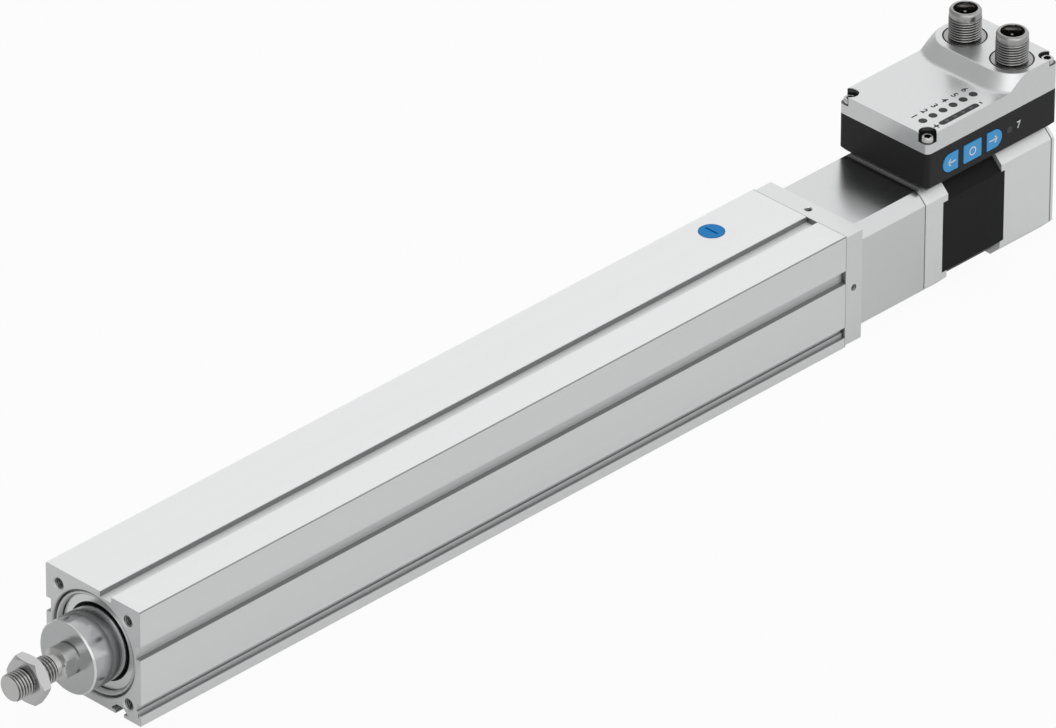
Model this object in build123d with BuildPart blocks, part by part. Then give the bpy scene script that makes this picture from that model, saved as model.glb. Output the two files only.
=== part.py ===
from build123d import *
import os
from math import cos, radians, sin, sqrt, tan

# Electric cylinder, size 45, with a ball screw, a stepper motor and a drive unit on the motor.
# Origin: centre of the front mounting face. X runs from that face to the motor, Z is up, in millimetres.

# Driving sizes: profile
stroke = 200.0
profile_width = 45.0
profile_edge = 0.35
bore_radius = 17.0
mouth_radius = 19.65
mouth_depth = 38.0
mouth_edge = 0.4
front_hole_pitch = 32.8
front_hole_radius = 2.1
front_hole_depth = 15.0
front_hole_edge = 0.4
rear_hole_radius = 1.7
rear_hole_depth = 12.0
key_groove_width = 4.0
key_groove_depth = 1.2

# Driving sizes: slots of the profile
sensor_slot_width = 5.4
sensor_slot_depth = 2.2
sensor_slot_place = 6.1
clamp_groove_top = 8.4
clamp_groove_width = 4.4
clamp_groove_depth = 2.3
clamp_ledge_drop = 2.9
clamp_ledge_depth = 1.6
clamp_lip = 1.0
clamp_hook = 0.9
foot_slot_place = 12.2
foot_slot_mouth = 3.9
foot_slot_lip = 1.2
foot_slot_width = 7.3
foot_slot_side = 0.7
foot_slot_top_width = 2.8
foot_slot_depth = 3.75

# Driving sizes: front bearing
cap_face = 2.8
cap_nose_radius = 17.2
cap_nose_length = 1.4
cap_hole_radius = 14.4
seal_radius = 16.6
seal_length = 4.8
bush_wall = 2.0
ring_face = 0.9
ring_inner_radius = 17.55
ring_outer_radius = 19.2
ring_round = 0.5
buffer_thickness = 3.0
overtravel = 12.0
stop_gap = 0.6

# Driving sizes: piston rod and its end
rod_radius = 13.4
rod_wall = 4.2
rod_nose = 14.0
rod_stand_out = 12.0
rod_edge = 0.45
stud_length = 26.3
stud_radius = 5.0
stud_thread_length = 18.1
stud_end_edge = 0.8
nut_thread_radius = 4.35
stud_neck_radius = 4.2
stud_neck_length = 2.0
collar_radius = 5.95
collar_flats = 10.0
collar_length = 4.3
collar_cone = 1.0
collar_foot_radius = 5.4
stud_shank_radius = 4.25
stud_shank_length = 10.0
nut_place = 15.4
nut_thickness = 4.6
nut_flats = 16.0
nut_face_radius = 7.75

# Driving sizes: piston
piston_length = 58.0
piston_radius = 16.4
spigot_length = 10.0
guide_length = 8.0
guide_depth = 1.4
guide_inset = 4.0
magnet_length = 8.0
magnet_place = 22.0
magnet_inner_radius = 14.0
nut_seat_radius = 12.0
nut_seat_start = 12.0
nut_ring_radius = 13.0
nut_ring_length = 7.0
nut_ring_sink = 1.0

# Driving sizes: screw and its bearings
screw_radius = 6.0
screw_core_gap = 0.15
screw_tip_radius = 4.0
support_length = 8.0
support_gap = 4.0
block_length = 24.0
bearing_outer_radius = 14.0
bearing_journal_radius = 6.0
bearing_width = 8.0
bearing_ring_wall = 1.8
clamp_ring_length = 6.0
clamp_ring_radius = 15.0
screw_collar_radius = 6.8
lock_nut_radius = 8.2
lock_nut_length = 6.5
coupling_journal_radius = 4.0

# Driving sizes: bearing flange, coupling housing and coupling
flange_inset = 0.4
flange_thickness = 8.3
flange_hole_radius = 9.0
flange_edge = 0.3
side_hole_radius = 1.25
side_hole_depth = 4.0
side_hole_place = 4.3
side_hole_edge = 0.25
housing_length = 32.7
motor_width = 42.3
motor_corner = 4.35
housing_bore_radius = 15.5
pilot_fit = 0.05
housing_wall = 4.0
coupling_radius = 12.3
spider_length = 5.0
coupling_end_gap = 0.7
screw_head_room = 1.2
jaw_inner_radius = 5.8
jaws = 3
jaw_angle = 35.0
spider_leg_angle = 22.0

# Driving sizes: motor
bell_length = 9.0
bell_ear = 2.4
stack_length = 31.2
stack_corner = 7.0
rear_housing_length = 23.7
rear_ear = 1.7
rear_cover_thickness = 1.7
pilot_length = 2.0
tie_pitch = 31.0
stator_bore_radius = 13.2
stator_poles = 8
pole_angle = 20.0
slot_outer_radius = 18.2
air_gap = 0.3
motor_bearing_radius = 8.0
motor_bearing_width = 5.0
shaft_radius = 2.5
winding_overhang = 2.3
rear_cavity_wall = 2.6

# Driving sizes: drive unit on the motor
drive_setback = 0.4
drive_length = 66.0
drive_width = 42.4
drive_wall = 2.0
drive_floor = 2.2
drive_corner = 2.0
base_height = 15.65
base_bevel = 2.1
cover_low_height = 7.55
cover_rise = 5.15
cover_wall = 2.1
rise_from_rear = 29.0
rise_straight = 20.0
rise_corner = 17.0
rise_slope = 45.0
foot_round = 2.4
brow_round = 0.6
cover_screw_inset = 2.75
cover_screw_head_radius = 2.7
cover_screw_head_height = 1.9
cover_recess_radius = 3.15
front_recess_depth = 3.65
rear_recess_depth = 2.6

# Driving sizes: controls and plugs of the drive unit
button_height = 7.2
button_width = 9.0
button_pitch = 11.1
button_row_place = 22.8
button_row_level = 8.1
button_proud = 0.25
button_travel = 0.5
button_gap = 0.25
button_end_width = 7.6
light_pitch = 5.08
light_radius = 1.6
light_first = 6.8
light_side = 12.4
lights = 6
bar_length = 19.3
bar_width = 2.6
bar_place = 18.85
bar_depth = 0.8
bar_side = 18.2
link_light_radius = 1.35
link_light_place = 41.7
connector_from_rear = 13.0
connector_side = 11.2
connector_thread_radius = 5.9
connector_height = 11.3
connector_flange_radius = 7.5
connector_flange_thickness = 1.2
connector_seal_width = 0.5
connector_cavity_radius = 4.3
connector_cavity_depth = 8.0
pins_per_connector = 5

# Clearances
seat_gap = 0.05
running_gap = 0.03
slide_gap = 0.1
light_gap = 0.03
joint_edge = 0.25

# Fasteners, by thread radius
screw_m3 = 1.5
screw_m4 = 2.0
socket_m2_5 = 1.0
socket_m3 = 1.4
socket_m4 = 1.7
head_m3 = 2.75
head_m3_height = 3.0
head_m4 = 3.5

# Places along the axis, worked out from the sizes above
buffers = 2 * buffer_thickness
profile_length = stroke + mouth_depth + buffers + overtravel + piston_length + stop_gap + block_length
half_width = profile_width / 2
block_start = profile_length - block_length
rear_buffer_start = block_start - buffer_thickness
piston_start = rear_buffer_start - stop_gap - piston_length
rod_face = -rod_stand_out
rod_bore_radius = rod_radius - rod_wall
spigot_start = piston_start - spigot_length
support_start = spigot_start - stroke - support_gap - support_length
bearing_start = block_start + clamp_ring_length
bearing_end = bearing_start + 2 * bearing_width
flange_rear = profile_length + flange_thickness
motor_front = flange_rear + housing_length
pilot_front = motor_front - pilot_length
pilot_radius = housing_bore_radius - pilot_fit
stack_front = motor_front + bell_length
stack_rear = stack_front + stack_length
rear_housing_end = stack_rear + rear_housing_length
motor_end = rear_housing_end + rear_cover_thickness
motor_half = motor_width / 2
front_room = housing_wall + head_m3_height + screw_head_room
hub_length = (housing_length - pilot_length - coupling_end_gap - spider_length - front_room) / 2
motor_hub_end = pilot_front - coupling_end_gap
motor_hub_start = motor_hub_end - hub_length
spider_start = motor_hub_start - spider_length
screw_hub_start = spider_start - hub_length
shaft_start = motor_hub_start + seat_gap

drive_front = motor_front + drive_setback
drive_rear = drive_front + drive_length
drive_middle = (drive_front + drive_rear) / 2
drive_half = drive_width / 2
base_bottom = motor_half
split_level = base_bottom + base_height
low_top = split_level + cover_low_height
high_top = low_top + cover_rise
button_level = base_bottom + button_row_level
button_row = drive_front + button_row_place
connector_x = drive_rear - connector_from_rear

os.makedirs("parts", exist_ok=True)


def keep(piece, name):
    """Label a finished piece and write it."""
    piece.part.label = name
    export_step(piece.part, f"parts/{name}.step")


def turned(name, outline):
    """A round piece on the cylinder's axis, from the half outline as (x, radius) points."""
    with BuildPart() as piece:
        turn(outline)
    keep(piece, name)


def turn(outline, mode=Mode.ADD):
    """Turn a half outline about the cylinder's axis, inside a piece."""
    with BuildSketch(Plane.XZ) as section:
        with BuildLine():
            Polyline(*outline, close=True)
        make_face()
    revolve(section.sketch, axis=Axis.X, mode=mode)


def tube_outline(start, end, inner, outer):
    """Half outline of a plain ring or tube."""
    return [(start, inner), (end, inner), (end, outer), (start, outer)]


def drill(start, depth, radius, places, edge=0.0):
    """Round holes along +X from the plane at start, with an edge break where one is given."""
    with BuildSketch(Plane.YZ.offset(start)) as holes:
        with Locations(*places):
            Circle(radius)
    extrude(holes.sketch, amount=depth, mode=Mode.SUBTRACT)
    if edge > 0:
        with BuildSketch(Plane.YZ.offset(start)) as rims:
            with Locations(*places):
                Circle(radius + edge)
        extrude(rims.sketch, amount=edge, taper=45, mode=Mode.SUBTRACT)


def soften(piece, x):
    """Small chamfer on a piece's straight outer edges in the plane at x."""
    rim = piece.edges().filter_by(GeomType.LINE).filter_by_position(Axis.X, x - seat_gap, x + seat_gap)
    outer = [e for e in rim if max(abs(e.center().Y), abs(e.center().Z)) > motor_half - motor_corner]
    chamfer(outer, joint_edge)


def corners(pitch):
    """The four corners of a square pattern."""
    return [(a * pitch / 2, b * pitch / 2) for a in (-1, 1) for b in (-1, 1)]


def ring_places(radius, count, first=0.0):
    """Places spaced evenly on a circle, with the first one at an angle in degrees."""
    step = 360 / count
    angles = [radians(first + step * i) for i in range(count)]
    return [(radius * cos(a), radius * sin(a)) for a in angles]


def motor_section(corner):
    """Square section of the motor with its corners cut."""
    Rectangle(motor_width, motor_width)
    chamfer(vertices(), corner)


def sector(inner, outer, middle, angle):
    """Part of a ring, between two radii and about a middle angle, in the active sketch."""
    half = angle / 2
    with BuildLine() as edge_line:
        CenterArc((0, 0), outer, middle - half, angle)
        CenterArc((0, 0), inner, middle - half, angle)
        for side in (middle - half, middle + half):
            a = radians(side)
            Line((inner * cos(a), inner * sin(a)), (outer * cos(a), outer * sin(a)))
    make_face(edge_line.edges())


# Profile housing
def sensor_slots():
    """Shallow slots for sensors, one on top and one on each side."""
    depth = 2 * sensor_slot_depth
    with Locations((-sensor_slot_place, half_width)):
        Rectangle(sensor_slot_width, depth, mode=Mode.SUBTRACT)
    with Locations((-half_width, sensor_slot_place), (half_width, sensor_slot_place)):
        Rectangle(depth, sensor_slot_width, mode=Mode.SUBTRACT)


def clamp_grooves():
    """Stepped grooves low on both sides, with a hook behind the lower lip for foot clamps."""
    top = clamp_groove_top - half_width
    ledge = top - clamp_ledge_drop
    lip = top - clamp_groove_width
    hook = lip - clamp_hook
    outline = [
        (0, top),
        (clamp_groove_depth, top),
        (clamp_groove_depth, ledge),
        (clamp_ledge_depth, ledge),
        (clamp_ledge_depth, hook),
        (clamp_lip, hook),
        (clamp_lip, lip),
        (0, lip),
    ]
    for side in (-1, 1):
        with BuildLine() as groove:
            Polyline(*[(side * (half_width - depth), z) for depth, z in outline], close=True)
        make_face(groove.edges(), mode=Mode.SUBTRACT)


def foot_slots():
    """Undercut slots in the bottom face for hammer nuts, with a roof that narrows upwards."""
    wide = foot_slot_lip + foot_slot_side
    half_outline = [
        (foot_slot_mouth / 2, 0),
        (foot_slot_mouth / 2, foot_slot_lip),
        (foot_slot_width / 2, foot_slot_lip),
        (foot_slot_width / 2, wide),
        (foot_slot_top_width / 2, foot_slot_depth),
    ]
    outline = half_outline + [(-y, z) for y, z in reversed(half_outline)]
    for middle in (-foot_slot_place, foot_slot_place):
        with BuildLine() as slot:
            Polyline(*[(middle + y, z - half_width) for y, z in outline], close=True)
        make_face(slot.edges(), mode=Mode.SUBTRACT)


plug_from_rear = 30.3
plug_place = profile_length - plug_from_rear
plug_side = 13.0
plug_radius = 4.6
plug_rim_gap = 0.2
plug_seat_depth = 0.7
plug_proud = 0.1
plug_shank_radius = 3.0
plug_shank_length = 7.0

with BuildPart() as profile_housing:
    with BuildSketch(Plane.YZ):
        Rectangle(profile_width, profile_width)
        chamfer(vertices(), profile_edge)
        Circle(bore_radius, mode=Mode.SUBTRACT)
        with Locations((0, -bore_radius)):
            Rectangle(key_groove_width, 2 * key_groove_depth, mode=Mode.SUBTRACT)
        sensor_slots()
        clamp_grooves()
        foot_slots()
    extrude(amount=profile_length)
    drill(0, mouth_depth, mouth_radius, [(0, 0)], edge=mouth_edge)
    drill(0, front_hole_depth, front_hole_radius, corners(front_hole_pitch), edge=front_hole_edge)
    drill(profile_length, -rear_hole_depth, rear_hole_radius, corners(front_hole_pitch))
    with BuildSketch(Plane.XY.offset(half_width)):
        with Locations((plug_place, plug_side)):
            Circle(plug_radius + plug_rim_gap)
    extrude(amount=-plug_seat_depth, mode=Mode.SUBTRACT)
    with BuildSketch(Plane.XY.offset(half_width)):
        with Locations((plug_place, plug_side)):
            Circle(plug_shank_radius + seat_gap)
    extrude(amount=-half_width, mode=Mode.SUBTRACT)
keep(profile_housing, "profile_housing")

# Plug of the grease hole, with a screwdriver slot
plug_slot_width = 1.0
plug_slot_length = 5.8
plug_slot_depth = 0.45
with BuildPart() as grease_plug:
    with BuildSketch(Plane.XY.offset(half_width - plug_seat_depth)):
        with Locations((plug_place, plug_side)):
            Circle(plug_radius)
    extrude(amount=plug_seat_depth + plug_proud)
    with BuildSketch(Plane.XY.offset(half_width - plug_seat_depth)):
        with Locations((plug_place, plug_side)):
            Circle(plug_shank_radius)
    extrude(amount=-plug_shank_length)
    with BuildSketch(Plane.XY.offset(half_width + plug_proud)):
        with Locations((plug_place, plug_side)):
            Rectangle(plug_slot_width, plug_slot_length)
    extrude(amount=-plug_slot_depth, mode=Mode.SUBTRACT)
keep(grease_plug, "grease_plug")

# Front bearing: cap, ring that holds it, wiper, bush and buffer
cap_radius = mouth_radius - seat_gap
cap_shoulder = cap_face + cap_nose_length
seal_start = cap_shoulder + 0.6
seal_end = seal_start + seal_length
bush_radius = rod_radius + running_gap + bush_wall
bush_start = seal_end + 1.2
turned("bearing_cap", [
    (cap_face, cap_hole_radius),
    (seal_start, cap_hole_radius),
    (seal_start, seal_radius),
    (seal_end, seal_radius),
    (seal_end, cap_hole_radius),
    (bush_start, cap_hole_radius),
    (bush_start, bush_radius),
    (mouth_depth, bush_radius),
    (mouth_depth, cap_radius),
    (cap_shoulder, cap_radius),
    (cap_shoulder, cap_nose_radius),
    (cap_face, cap_nose_radius),
])

with BuildPart() as cap_ring:
    turn(tube_outline(ring_face, cap_shoulder, ring_inner_radius, ring_outer_radius))
    chamfer(cap_ring.edges().group_by(Axis.X)[0], ring_round)
keep(cap_ring, "cap_ring")

wiper_lip_radius = rod_radius + 2 * running_gap
wiper_back_radius = cap_hole_radius - 0.2
wiper_front_gap = 0.25
turned("wiper_seal", [
    (seal_start + seat_gap, seal_radius - seat_gap),
    (seal_end - seat_gap, seal_radius - seat_gap),
    (seal_end - seat_gap, wiper_back_radius),
    (seal_start + 2.4, wiper_back_radius),
    (seal_start + 1.2, wiper_lip_radius),
    (cap_face + 1.0, wiper_lip_radius),
    (cap_face + wiper_front_gap, wiper_lip_radius + 0.25),
    (cap_face + wiper_front_gap, wiper_back_radius),
    (seal_start + seat_gap, wiper_back_radius),
])
turned("rod_bush", tube_outline(
    bush_start + seat_gap, mouth_depth, rod_radius + running_gap, bush_radius - seat_gap,
))
buffer_radius = bore_radius - 0.3
with BuildPart() as end_buffers:
    turn(tube_outline(mouth_depth, mouth_depth + buffer_thickness, rod_radius + 0.6, buffer_radius))
    turn(tube_outline(rear_buffer_start, block_start, screw_collar_radius + 1.4, buffer_radius))
keep(end_buffers, "end_buffers")

# Piston rod: a tube with a closed nose, threaded for the stud
stud_hole_radius = stud_shank_radius + seat_gap
stud_hole_end = rod_face + stud_shank_length + 1.0
turned("piston_rod", [
    (rod_face, stud_hole_radius),
    (stud_hole_end, stud_hole_radius),
    (stud_hole_end, 0),
    (rod_face + rod_nose, 0),
    (rod_face + rod_nose, rod_bore_radius),
    (piston_start, rod_bore_radius),
    (piston_start, rod_radius),
    (rod_face + rod_edge, rod_radius),
    (rod_face, rod_radius - rod_edge),
])

# Stud of the rod: thread, neck, collar with two flats, and a shank in the rod
nut_start = rod_face - nut_place - nut_thickness
stud_tip = rod_face - stud_length
thread_end = stud_tip + stud_thread_length
cone_start = thread_end + stud_neck_length
collar_start = cone_start + collar_cone
collar_end = collar_start + collar_length
with BuildPart() as rod_stud:
    turn([
        (stud_tip, 0),
        (stud_tip, stud_radius - stud_end_edge),
        (stud_tip + stud_end_edge, stud_radius),
        (nut_start, stud_radius),
        (nut_start, nut_thread_radius),
        (thread_end, nut_thread_radius),
        (thread_end, stud_neck_radius),
        (cone_start, stud_neck_radius),
        (collar_start, collar_radius),
        (collar_end, collar_radius),
        (collar_end, collar_foot_radius),
        (rod_face, collar_foot_radius),
        (rod_face, stud_shank_radius),
        (rod_face + stud_shank_length, stud_shank_radius),
        (rod_face + stud_shank_length, 0),
    ])
    with BuildSketch(Plane.YZ.offset(cone_start)):
        with Locations((-collar_flats, 0), (collar_flats, 0)):
            Rectangle(collar_flats, 2 * collar_flats)
    extrude(amount=collar_end - cone_start, mode=Mode.SUBTRACT)
keep(rod_stud, "rod_stud")

# Lock nut on the stud
nut_end = nut_start + nut_thickness
nut_corner_radius = nut_flats / sqrt(3)
nut_chamfer = (nut_corner_radius - nut_face_radius) * tan(radians(30))
with BuildPart() as rod_nut:
    with BuildSketch(Plane.YZ.offset(nut_start)):
        RegularPolygon(nut_corner_radius, 6)
        Circle(nut_thread_radius + seat_gap, mode=Mode.SUBTRACT)
    extrude(amount=nut_thickness)
    turn([
        (nut_start, 0),
        (nut_start, nut_face_radius),
        (nut_start + nut_chamfer, nut_corner_radius),
        (nut_end - nut_chamfer, nut_corner_radius),
        (nut_end, nut_face_radius),
        (nut_end, 0),
    ], mode=Mode.INTERSECT)
keep(rod_nut, "rod_nut")

# Piston, with a spigot in the rod, grooves for its guides and magnet, and a seat for the ball nut
guide_radius = bore_radius - running_gap
guide_groove_radius = piston_radius - guide_depth
first_guide = piston_start + guide_inset
second_guide = piston_start + piston_length - guide_inset - guide_length
magnet_start = piston_start + magnet_place
nut_seat = piston_start + nut_seat_start
ball_nut_length = piston_length - nut_seat_start - nut_ring_length - nut_ring_sink
ball_nut_end = nut_seat + ball_nut_length
piston_end = piston_start + piston_length
piston_bore_radius = screw_radius + 1.0
turned("piston", [
    (spigot_start, piston_bore_radius),
    (nut_seat, piston_bore_radius),
    (nut_seat, nut_seat_radius),
    (ball_nut_end, nut_seat_radius),
    (ball_nut_end, nut_ring_radius),
    (piston_end, nut_ring_radius),
    (piston_end, piston_radius),
    (second_guide + guide_length, piston_radius),
    (second_guide + guide_length, guide_groove_radius),
    (second_guide, guide_groove_radius),
    (second_guide, piston_radius),
    (magnet_start + magnet_length, piston_radius),
    (magnet_start + magnet_length, magnet_inner_radius),
    (magnet_start, magnet_inner_radius),
    (magnet_start, piston_radius),
    (first_guide + guide_length, piston_radius),
    (first_guide + guide_length, guide_groove_radius),
    (first_guide, guide_groove_radius),
    (first_guide, piston_radius),
    (piston_start, piston_radius),
    (piston_start, rod_bore_radius - seat_gap),
    (spigot_start, rod_bore_radius - seat_gap),
])

# Guide rings of the piston, each with a key that runs in the groove of the bore
key_width = key_groove_width - 2 * slide_gap
key_reach = bore_radius + key_groove_depth - slide_gap
key_root = bore_radius - 0.6
with BuildPart() as piston_guides:
    for start in (first_guide, second_guide):
        turn(tube_outline(
            start + seat_gap, start + guide_length - seat_gap, guide_groove_radius + seat_gap, guide_radius,
        ))
        with BuildSketch(Plane.YZ.offset(start + seat_gap)):
            with Locations((0, -(key_root + key_reach) / 2)):
                Rectangle(key_width, key_reach - key_root)
        extrude(amount=guide_length - 2 * seat_gap)
keep(piston_guides, "piston_guides")
turned("piston_magnet", tube_outline(
    magnet_start + seat_gap, magnet_start + magnet_length - seat_gap,
    magnet_inner_radius + seat_gap, piston_radius,
))
turned("ball_nut", tube_outline(
    nut_seat + seat_gap, ball_nut_end, screw_radius + screw_core_gap, nut_seat_radius - seat_gap,
))
turned("nut_ring", tube_outline(
    ball_nut_end, ball_nut_end + nut_ring_length, piston_bore_radius, nut_ring_radius - seat_gap,
))

# Screw, with a support that runs inside the rod, a collar, a bearing journal and a coupling journal
support_end = support_start + support_length
thread_stop = block_start - 0.5
lock_nut_end = bearing_end + lock_nut_length
screw_end = screw_hub_start + hub_length
turned("ball_screw", [
    (support_start - 1.0, 0),
    (support_start - 1.0, screw_tip_radius),
    (support_end, screw_tip_radius),
    (support_end, screw_radius),
    (thread_stop, screw_radius),
    (thread_stop, screw_collar_radius),
    (bearing_start, screw_collar_radius),
    (bearing_start, bearing_journal_radius),
    (lock_nut_end, bearing_journal_radius),
    (lock_nut_end, coupling_journal_radius),
    (screw_end, coupling_journal_radius),
    (screw_end, 0),
])
turned("screw_support", tube_outline(
    support_start, support_end - seat_gap, screw_tip_radius + seat_gap, rod_bore_radius - slide_gap,
))

# Screw bearings: two rows of outer and inner rings with shields between them
inner_ring_radius = bearing_journal_radius + bearing_ring_wall
outer_ring_radius = bearing_outer_radius - bearing_ring_wall
shield_thickness = 0.8
rows = [bearing_start + bearing_width * i for i in range(2)]
with BuildPart() as bearing_outer_rings:
    for start in rows:
        turn(tube_outline(
            start + seat_gap, start + bearing_width - seat_gap,
            outer_ring_radius, bearing_outer_radius - seat_gap,
        ))
keep(bearing_outer_rings, "bearing_outer_rings")
with BuildPart() as bearing_inner_rings:
    for start in rows:
        turn(tube_outline(
            start + seat_gap, start + bearing_width - seat_gap,
            bearing_journal_radius + seat_gap / 2, inner_ring_radius,
        ))
keep(bearing_inner_rings, "bearing_inner_rings")
with BuildPart() as bearing_shields:
    for start in rows:
        for face in (start + seat_gap, start + bearing_width - seat_gap - shield_thickness):
            turn(tube_outline(
                face, face + shield_thickness, inner_ring_radius + slide_gap, outer_ring_radius,
            ))
keep(bearing_shields, "bearing_shields")

# Ring that clamps the bearings, with two spanner slots, and the lock nut of the screw
spanner_width = 3.0
spanner_depth = 1.6
with BuildPart() as bearing_clamp_ring:
    turn(tube_outline(
        block_start + 0.4, bearing_start, screw_collar_radius + 2.8, clamp_ring_radius - seat_gap,
    ))
    with BuildSketch(Plane.YZ.offset(block_start + 0.4)):
        Rectangle(2 * clamp_ring_radius, spanner_width)
    extrude(amount=spanner_depth, mode=Mode.SUBTRACT)
keep(bearing_clamp_ring, "bearing_clamp_ring")
turned("screw_lock_nut", tube_outline(
    bearing_end, lock_nut_end - seat_gap, bearing_journal_radius + seat_gap / 2, lock_nut_radius,
))

# Bearing flange: a spigot in the bore and a square plate behind the profile
flange_half = half_width - flange_inset
flange_screw_pitch = front_hole_pitch
flange_screw_gap = 0.4
head_m4_height = 4.0
screw_circle_radius = 12.6
coupling_screw_depth = 8.0
side_hole_x = profile_length + side_hole_place
with BuildPart() as bearing_flange:
    with BuildSketch(Plane.YZ.offset(profile_length)):
        Rectangle(2 * flange_half, 2 * flange_half)
        chamfer(vertices(), flange_edge)
    extrude(amount=flange_thickness)
    soften(bearing_flange, profile_length)
    turn(tube_outline(block_start, profile_length, 0, bore_radius - seat_gap))
    turn(tube_outline(block_start, bearing_start, 0, clamp_ring_radius), mode=Mode.SUBTRACT)
    turn(tube_outline(bearing_start, bearing_end, 0, bearing_outer_radius), mode=Mode.SUBTRACT)
    turn(tube_outline(bearing_end, flange_rear, 0, flange_hole_radius), mode=Mode.SUBTRACT)
    drill(profile_length, flange_thickness, screw_m4 + flange_screw_gap, corners(flange_screw_pitch))
    drill(flange_rear, -head_m4_height, head_m4 + slide_gap, corners(flange_screw_pitch))
    drill(flange_rear, -coupling_screw_depth, screw_m3 + seat_gap, ring_places(screw_circle_radius, 4, 45))
    for plane in (Plane.XY, Plane.XZ):
        for side in (-1, 1):
            with BuildSketch(plane.offset(side * flange_half)):
                with Locations((side_hole_x, 0)):
                    Circle(side_hole_radius)
            extrude(amount=-side * side_hole_depth, mode=Mode.SUBTRACT)
            rim = bearing_flange.edges().filter_by(GeomType.CIRCLE)
            outer = [e for e in rim if abs(e.radius - side_hole_radius) < 0.01 and e.center().X < flange_rear]
            facing = Axis.Z if plane == Plane.XY else Axis.Y
            chamfer(sorted(outer, key=lambda e: side * e.center().dot(facing.direction))[-1], side_hole_edge)
keep(bearing_flange, "bearing_flange")


def cap_screws(name, places, head_start, head_height, head_radius, shank_radius, shank_length, socket):
    """Socket head screws along X, with the heads behind head_start and the shanks in front of it."""
    with BuildPart() as screws:
        with BuildSketch(Plane.YZ.offset(head_start)):
            with Locations(*places):
                Circle(head_radius)
        extrude(amount=head_height)
        with BuildSketch(Plane.YZ.offset(head_start)):
            with Locations(*places):
                Circle(shank_radius)
        extrude(amount=-shank_length)
        with BuildSketch(Plane.YZ.offset(head_start + head_height)):
            with Locations(*places):
                RegularPolygon(socket, 6)
        extrude(amount=-head_height / 2, mode=Mode.SUBTRACT)
    keep(screws, name)


cap_screws(
    "flange_screws", corners(flange_screw_pitch), flange_rear - head_m4_height, head_m4_height - slide_gap,
    head_m4, rear_hole_radius - seat_gap, flange_thickness - head_m4_height + rear_hole_depth - 1.0, socket_m4,
)

# Coupling housing between the flange and the motor
tie_screw_depth = 9.0
with BuildPart() as coupling_housing:
    with BuildSketch(Plane.YZ.offset(flange_rear)):
        motor_section(motor_corner)
    extrude(amount=housing_length)
    soften(coupling_housing, motor_front)
    drill(flange_rear, housing_length, flange_hole_radius + 0.5, [(0, 0)])
    drill(flange_rear + housing_wall, housing_length - housing_wall, housing_bore_radius, [(0, 0)])
    drill(flange_rear, housing_wall, screw_m3 + slide_gap, ring_places(screw_circle_radius, 4, 45))
    drill(motor_front, -tie_screw_depth, screw_m3 + seat_gap, corners(tie_pitch))
keep(coupling_housing, "coupling_housing")
cap_screws(
    "coupling_screws", ring_places(screw_circle_radius, 4, 45), flange_rear + housing_wall, head_m3_height,
    head_m3, screw_m3, housing_wall + coupling_screw_depth - 1.0, socket_m3,
)


# Jaw coupling: two hubs and the elastic spider between them
def hub(name, start, bore, jaw_side, first):
    """A coupling hub with three jaws on one side."""
    jaw_start = start + hub_length if jaw_side > 0 else start
    with BuildPart() as piece:
        turn(tube_outline(start, start + hub_length, bore, coupling_radius))
        with BuildSketch(Plane.YZ.offset(jaw_start)):
            for i in range(jaws):
                sector(jaw_inner_radius, coupling_radius, first + 360 / jaws * i, jaw_angle)
        extrude(amount=jaw_side * (spider_length - seat_gap))
    keep(piece, name)


hub("screw_hub", screw_hub_start, coupling_journal_radius + seat_gap / 2, 1, 0)
hub("motor_hub", motor_hub_start, shaft_radius + seat_gap / 2, -1, 180 / jaws)
spider_ring_radius = jaw_inner_radius - 0.2
with BuildPart() as coupling_spider:
    with BuildSketch(Plane.YZ.offset(spider_start + seat_gap)):
        Circle(spider_ring_radius)
        for i in range(2 * jaws):
            middle = 180 / jaws * (i + 0.5)
            sector(spider_ring_radius - 1.0, coupling_radius - 0.3, middle, spider_leg_angle)
        Circle(shaft_radius, mode=Mode.SUBTRACT)
    extrude(amount=spider_length - 2 * seat_gap)
keep(coupling_spider, "coupling_spider")

# Motor: front bell, laminated stack, windings, rotor, rear housing with the encoder, and cover
winding_inner_radius = motor_bearing_radius + 2.5
winding_outer_radius = slot_outer_radius + 0.4
winding_room = winding_overhang + 0.5
tie_hole_radius = screw_m3 + 0.15
drive_screw_depth = 2.4
front_screw_inset = 5.2
rear_screw_inset = 3.2
front_drive_screw = motor_front + front_screw_inset
rear_drive_screw = stack_rear + rear_screw_inset


def ears(start, length):
    """Corner ears that reach over the cut corners of the stack."""
    with BuildSketch(Plane.YZ.offset(start)) as ear_outline:
        motor_section(motor_corner)
        inner = stack_corner - seat_gap
        with BuildSketch(mode=Mode.PRIVATE) as stack_outline:
            motor_section(inner)
        add(stack_outline.sketch, mode=Mode.SUBTRACT)
    extrude(ear_outline.sketch, amount=length)


def top_hole(x, top, depth, radius):
    """A round hole down from a level, on the middle plane."""
    with BuildSketch(Plane.XY.offset(top)) as hole:
        with Locations((x, 0)):
            Circle(radius)
    extrude(hole.sketch, amount=-depth, mode=Mode.SUBTRACT)


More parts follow.
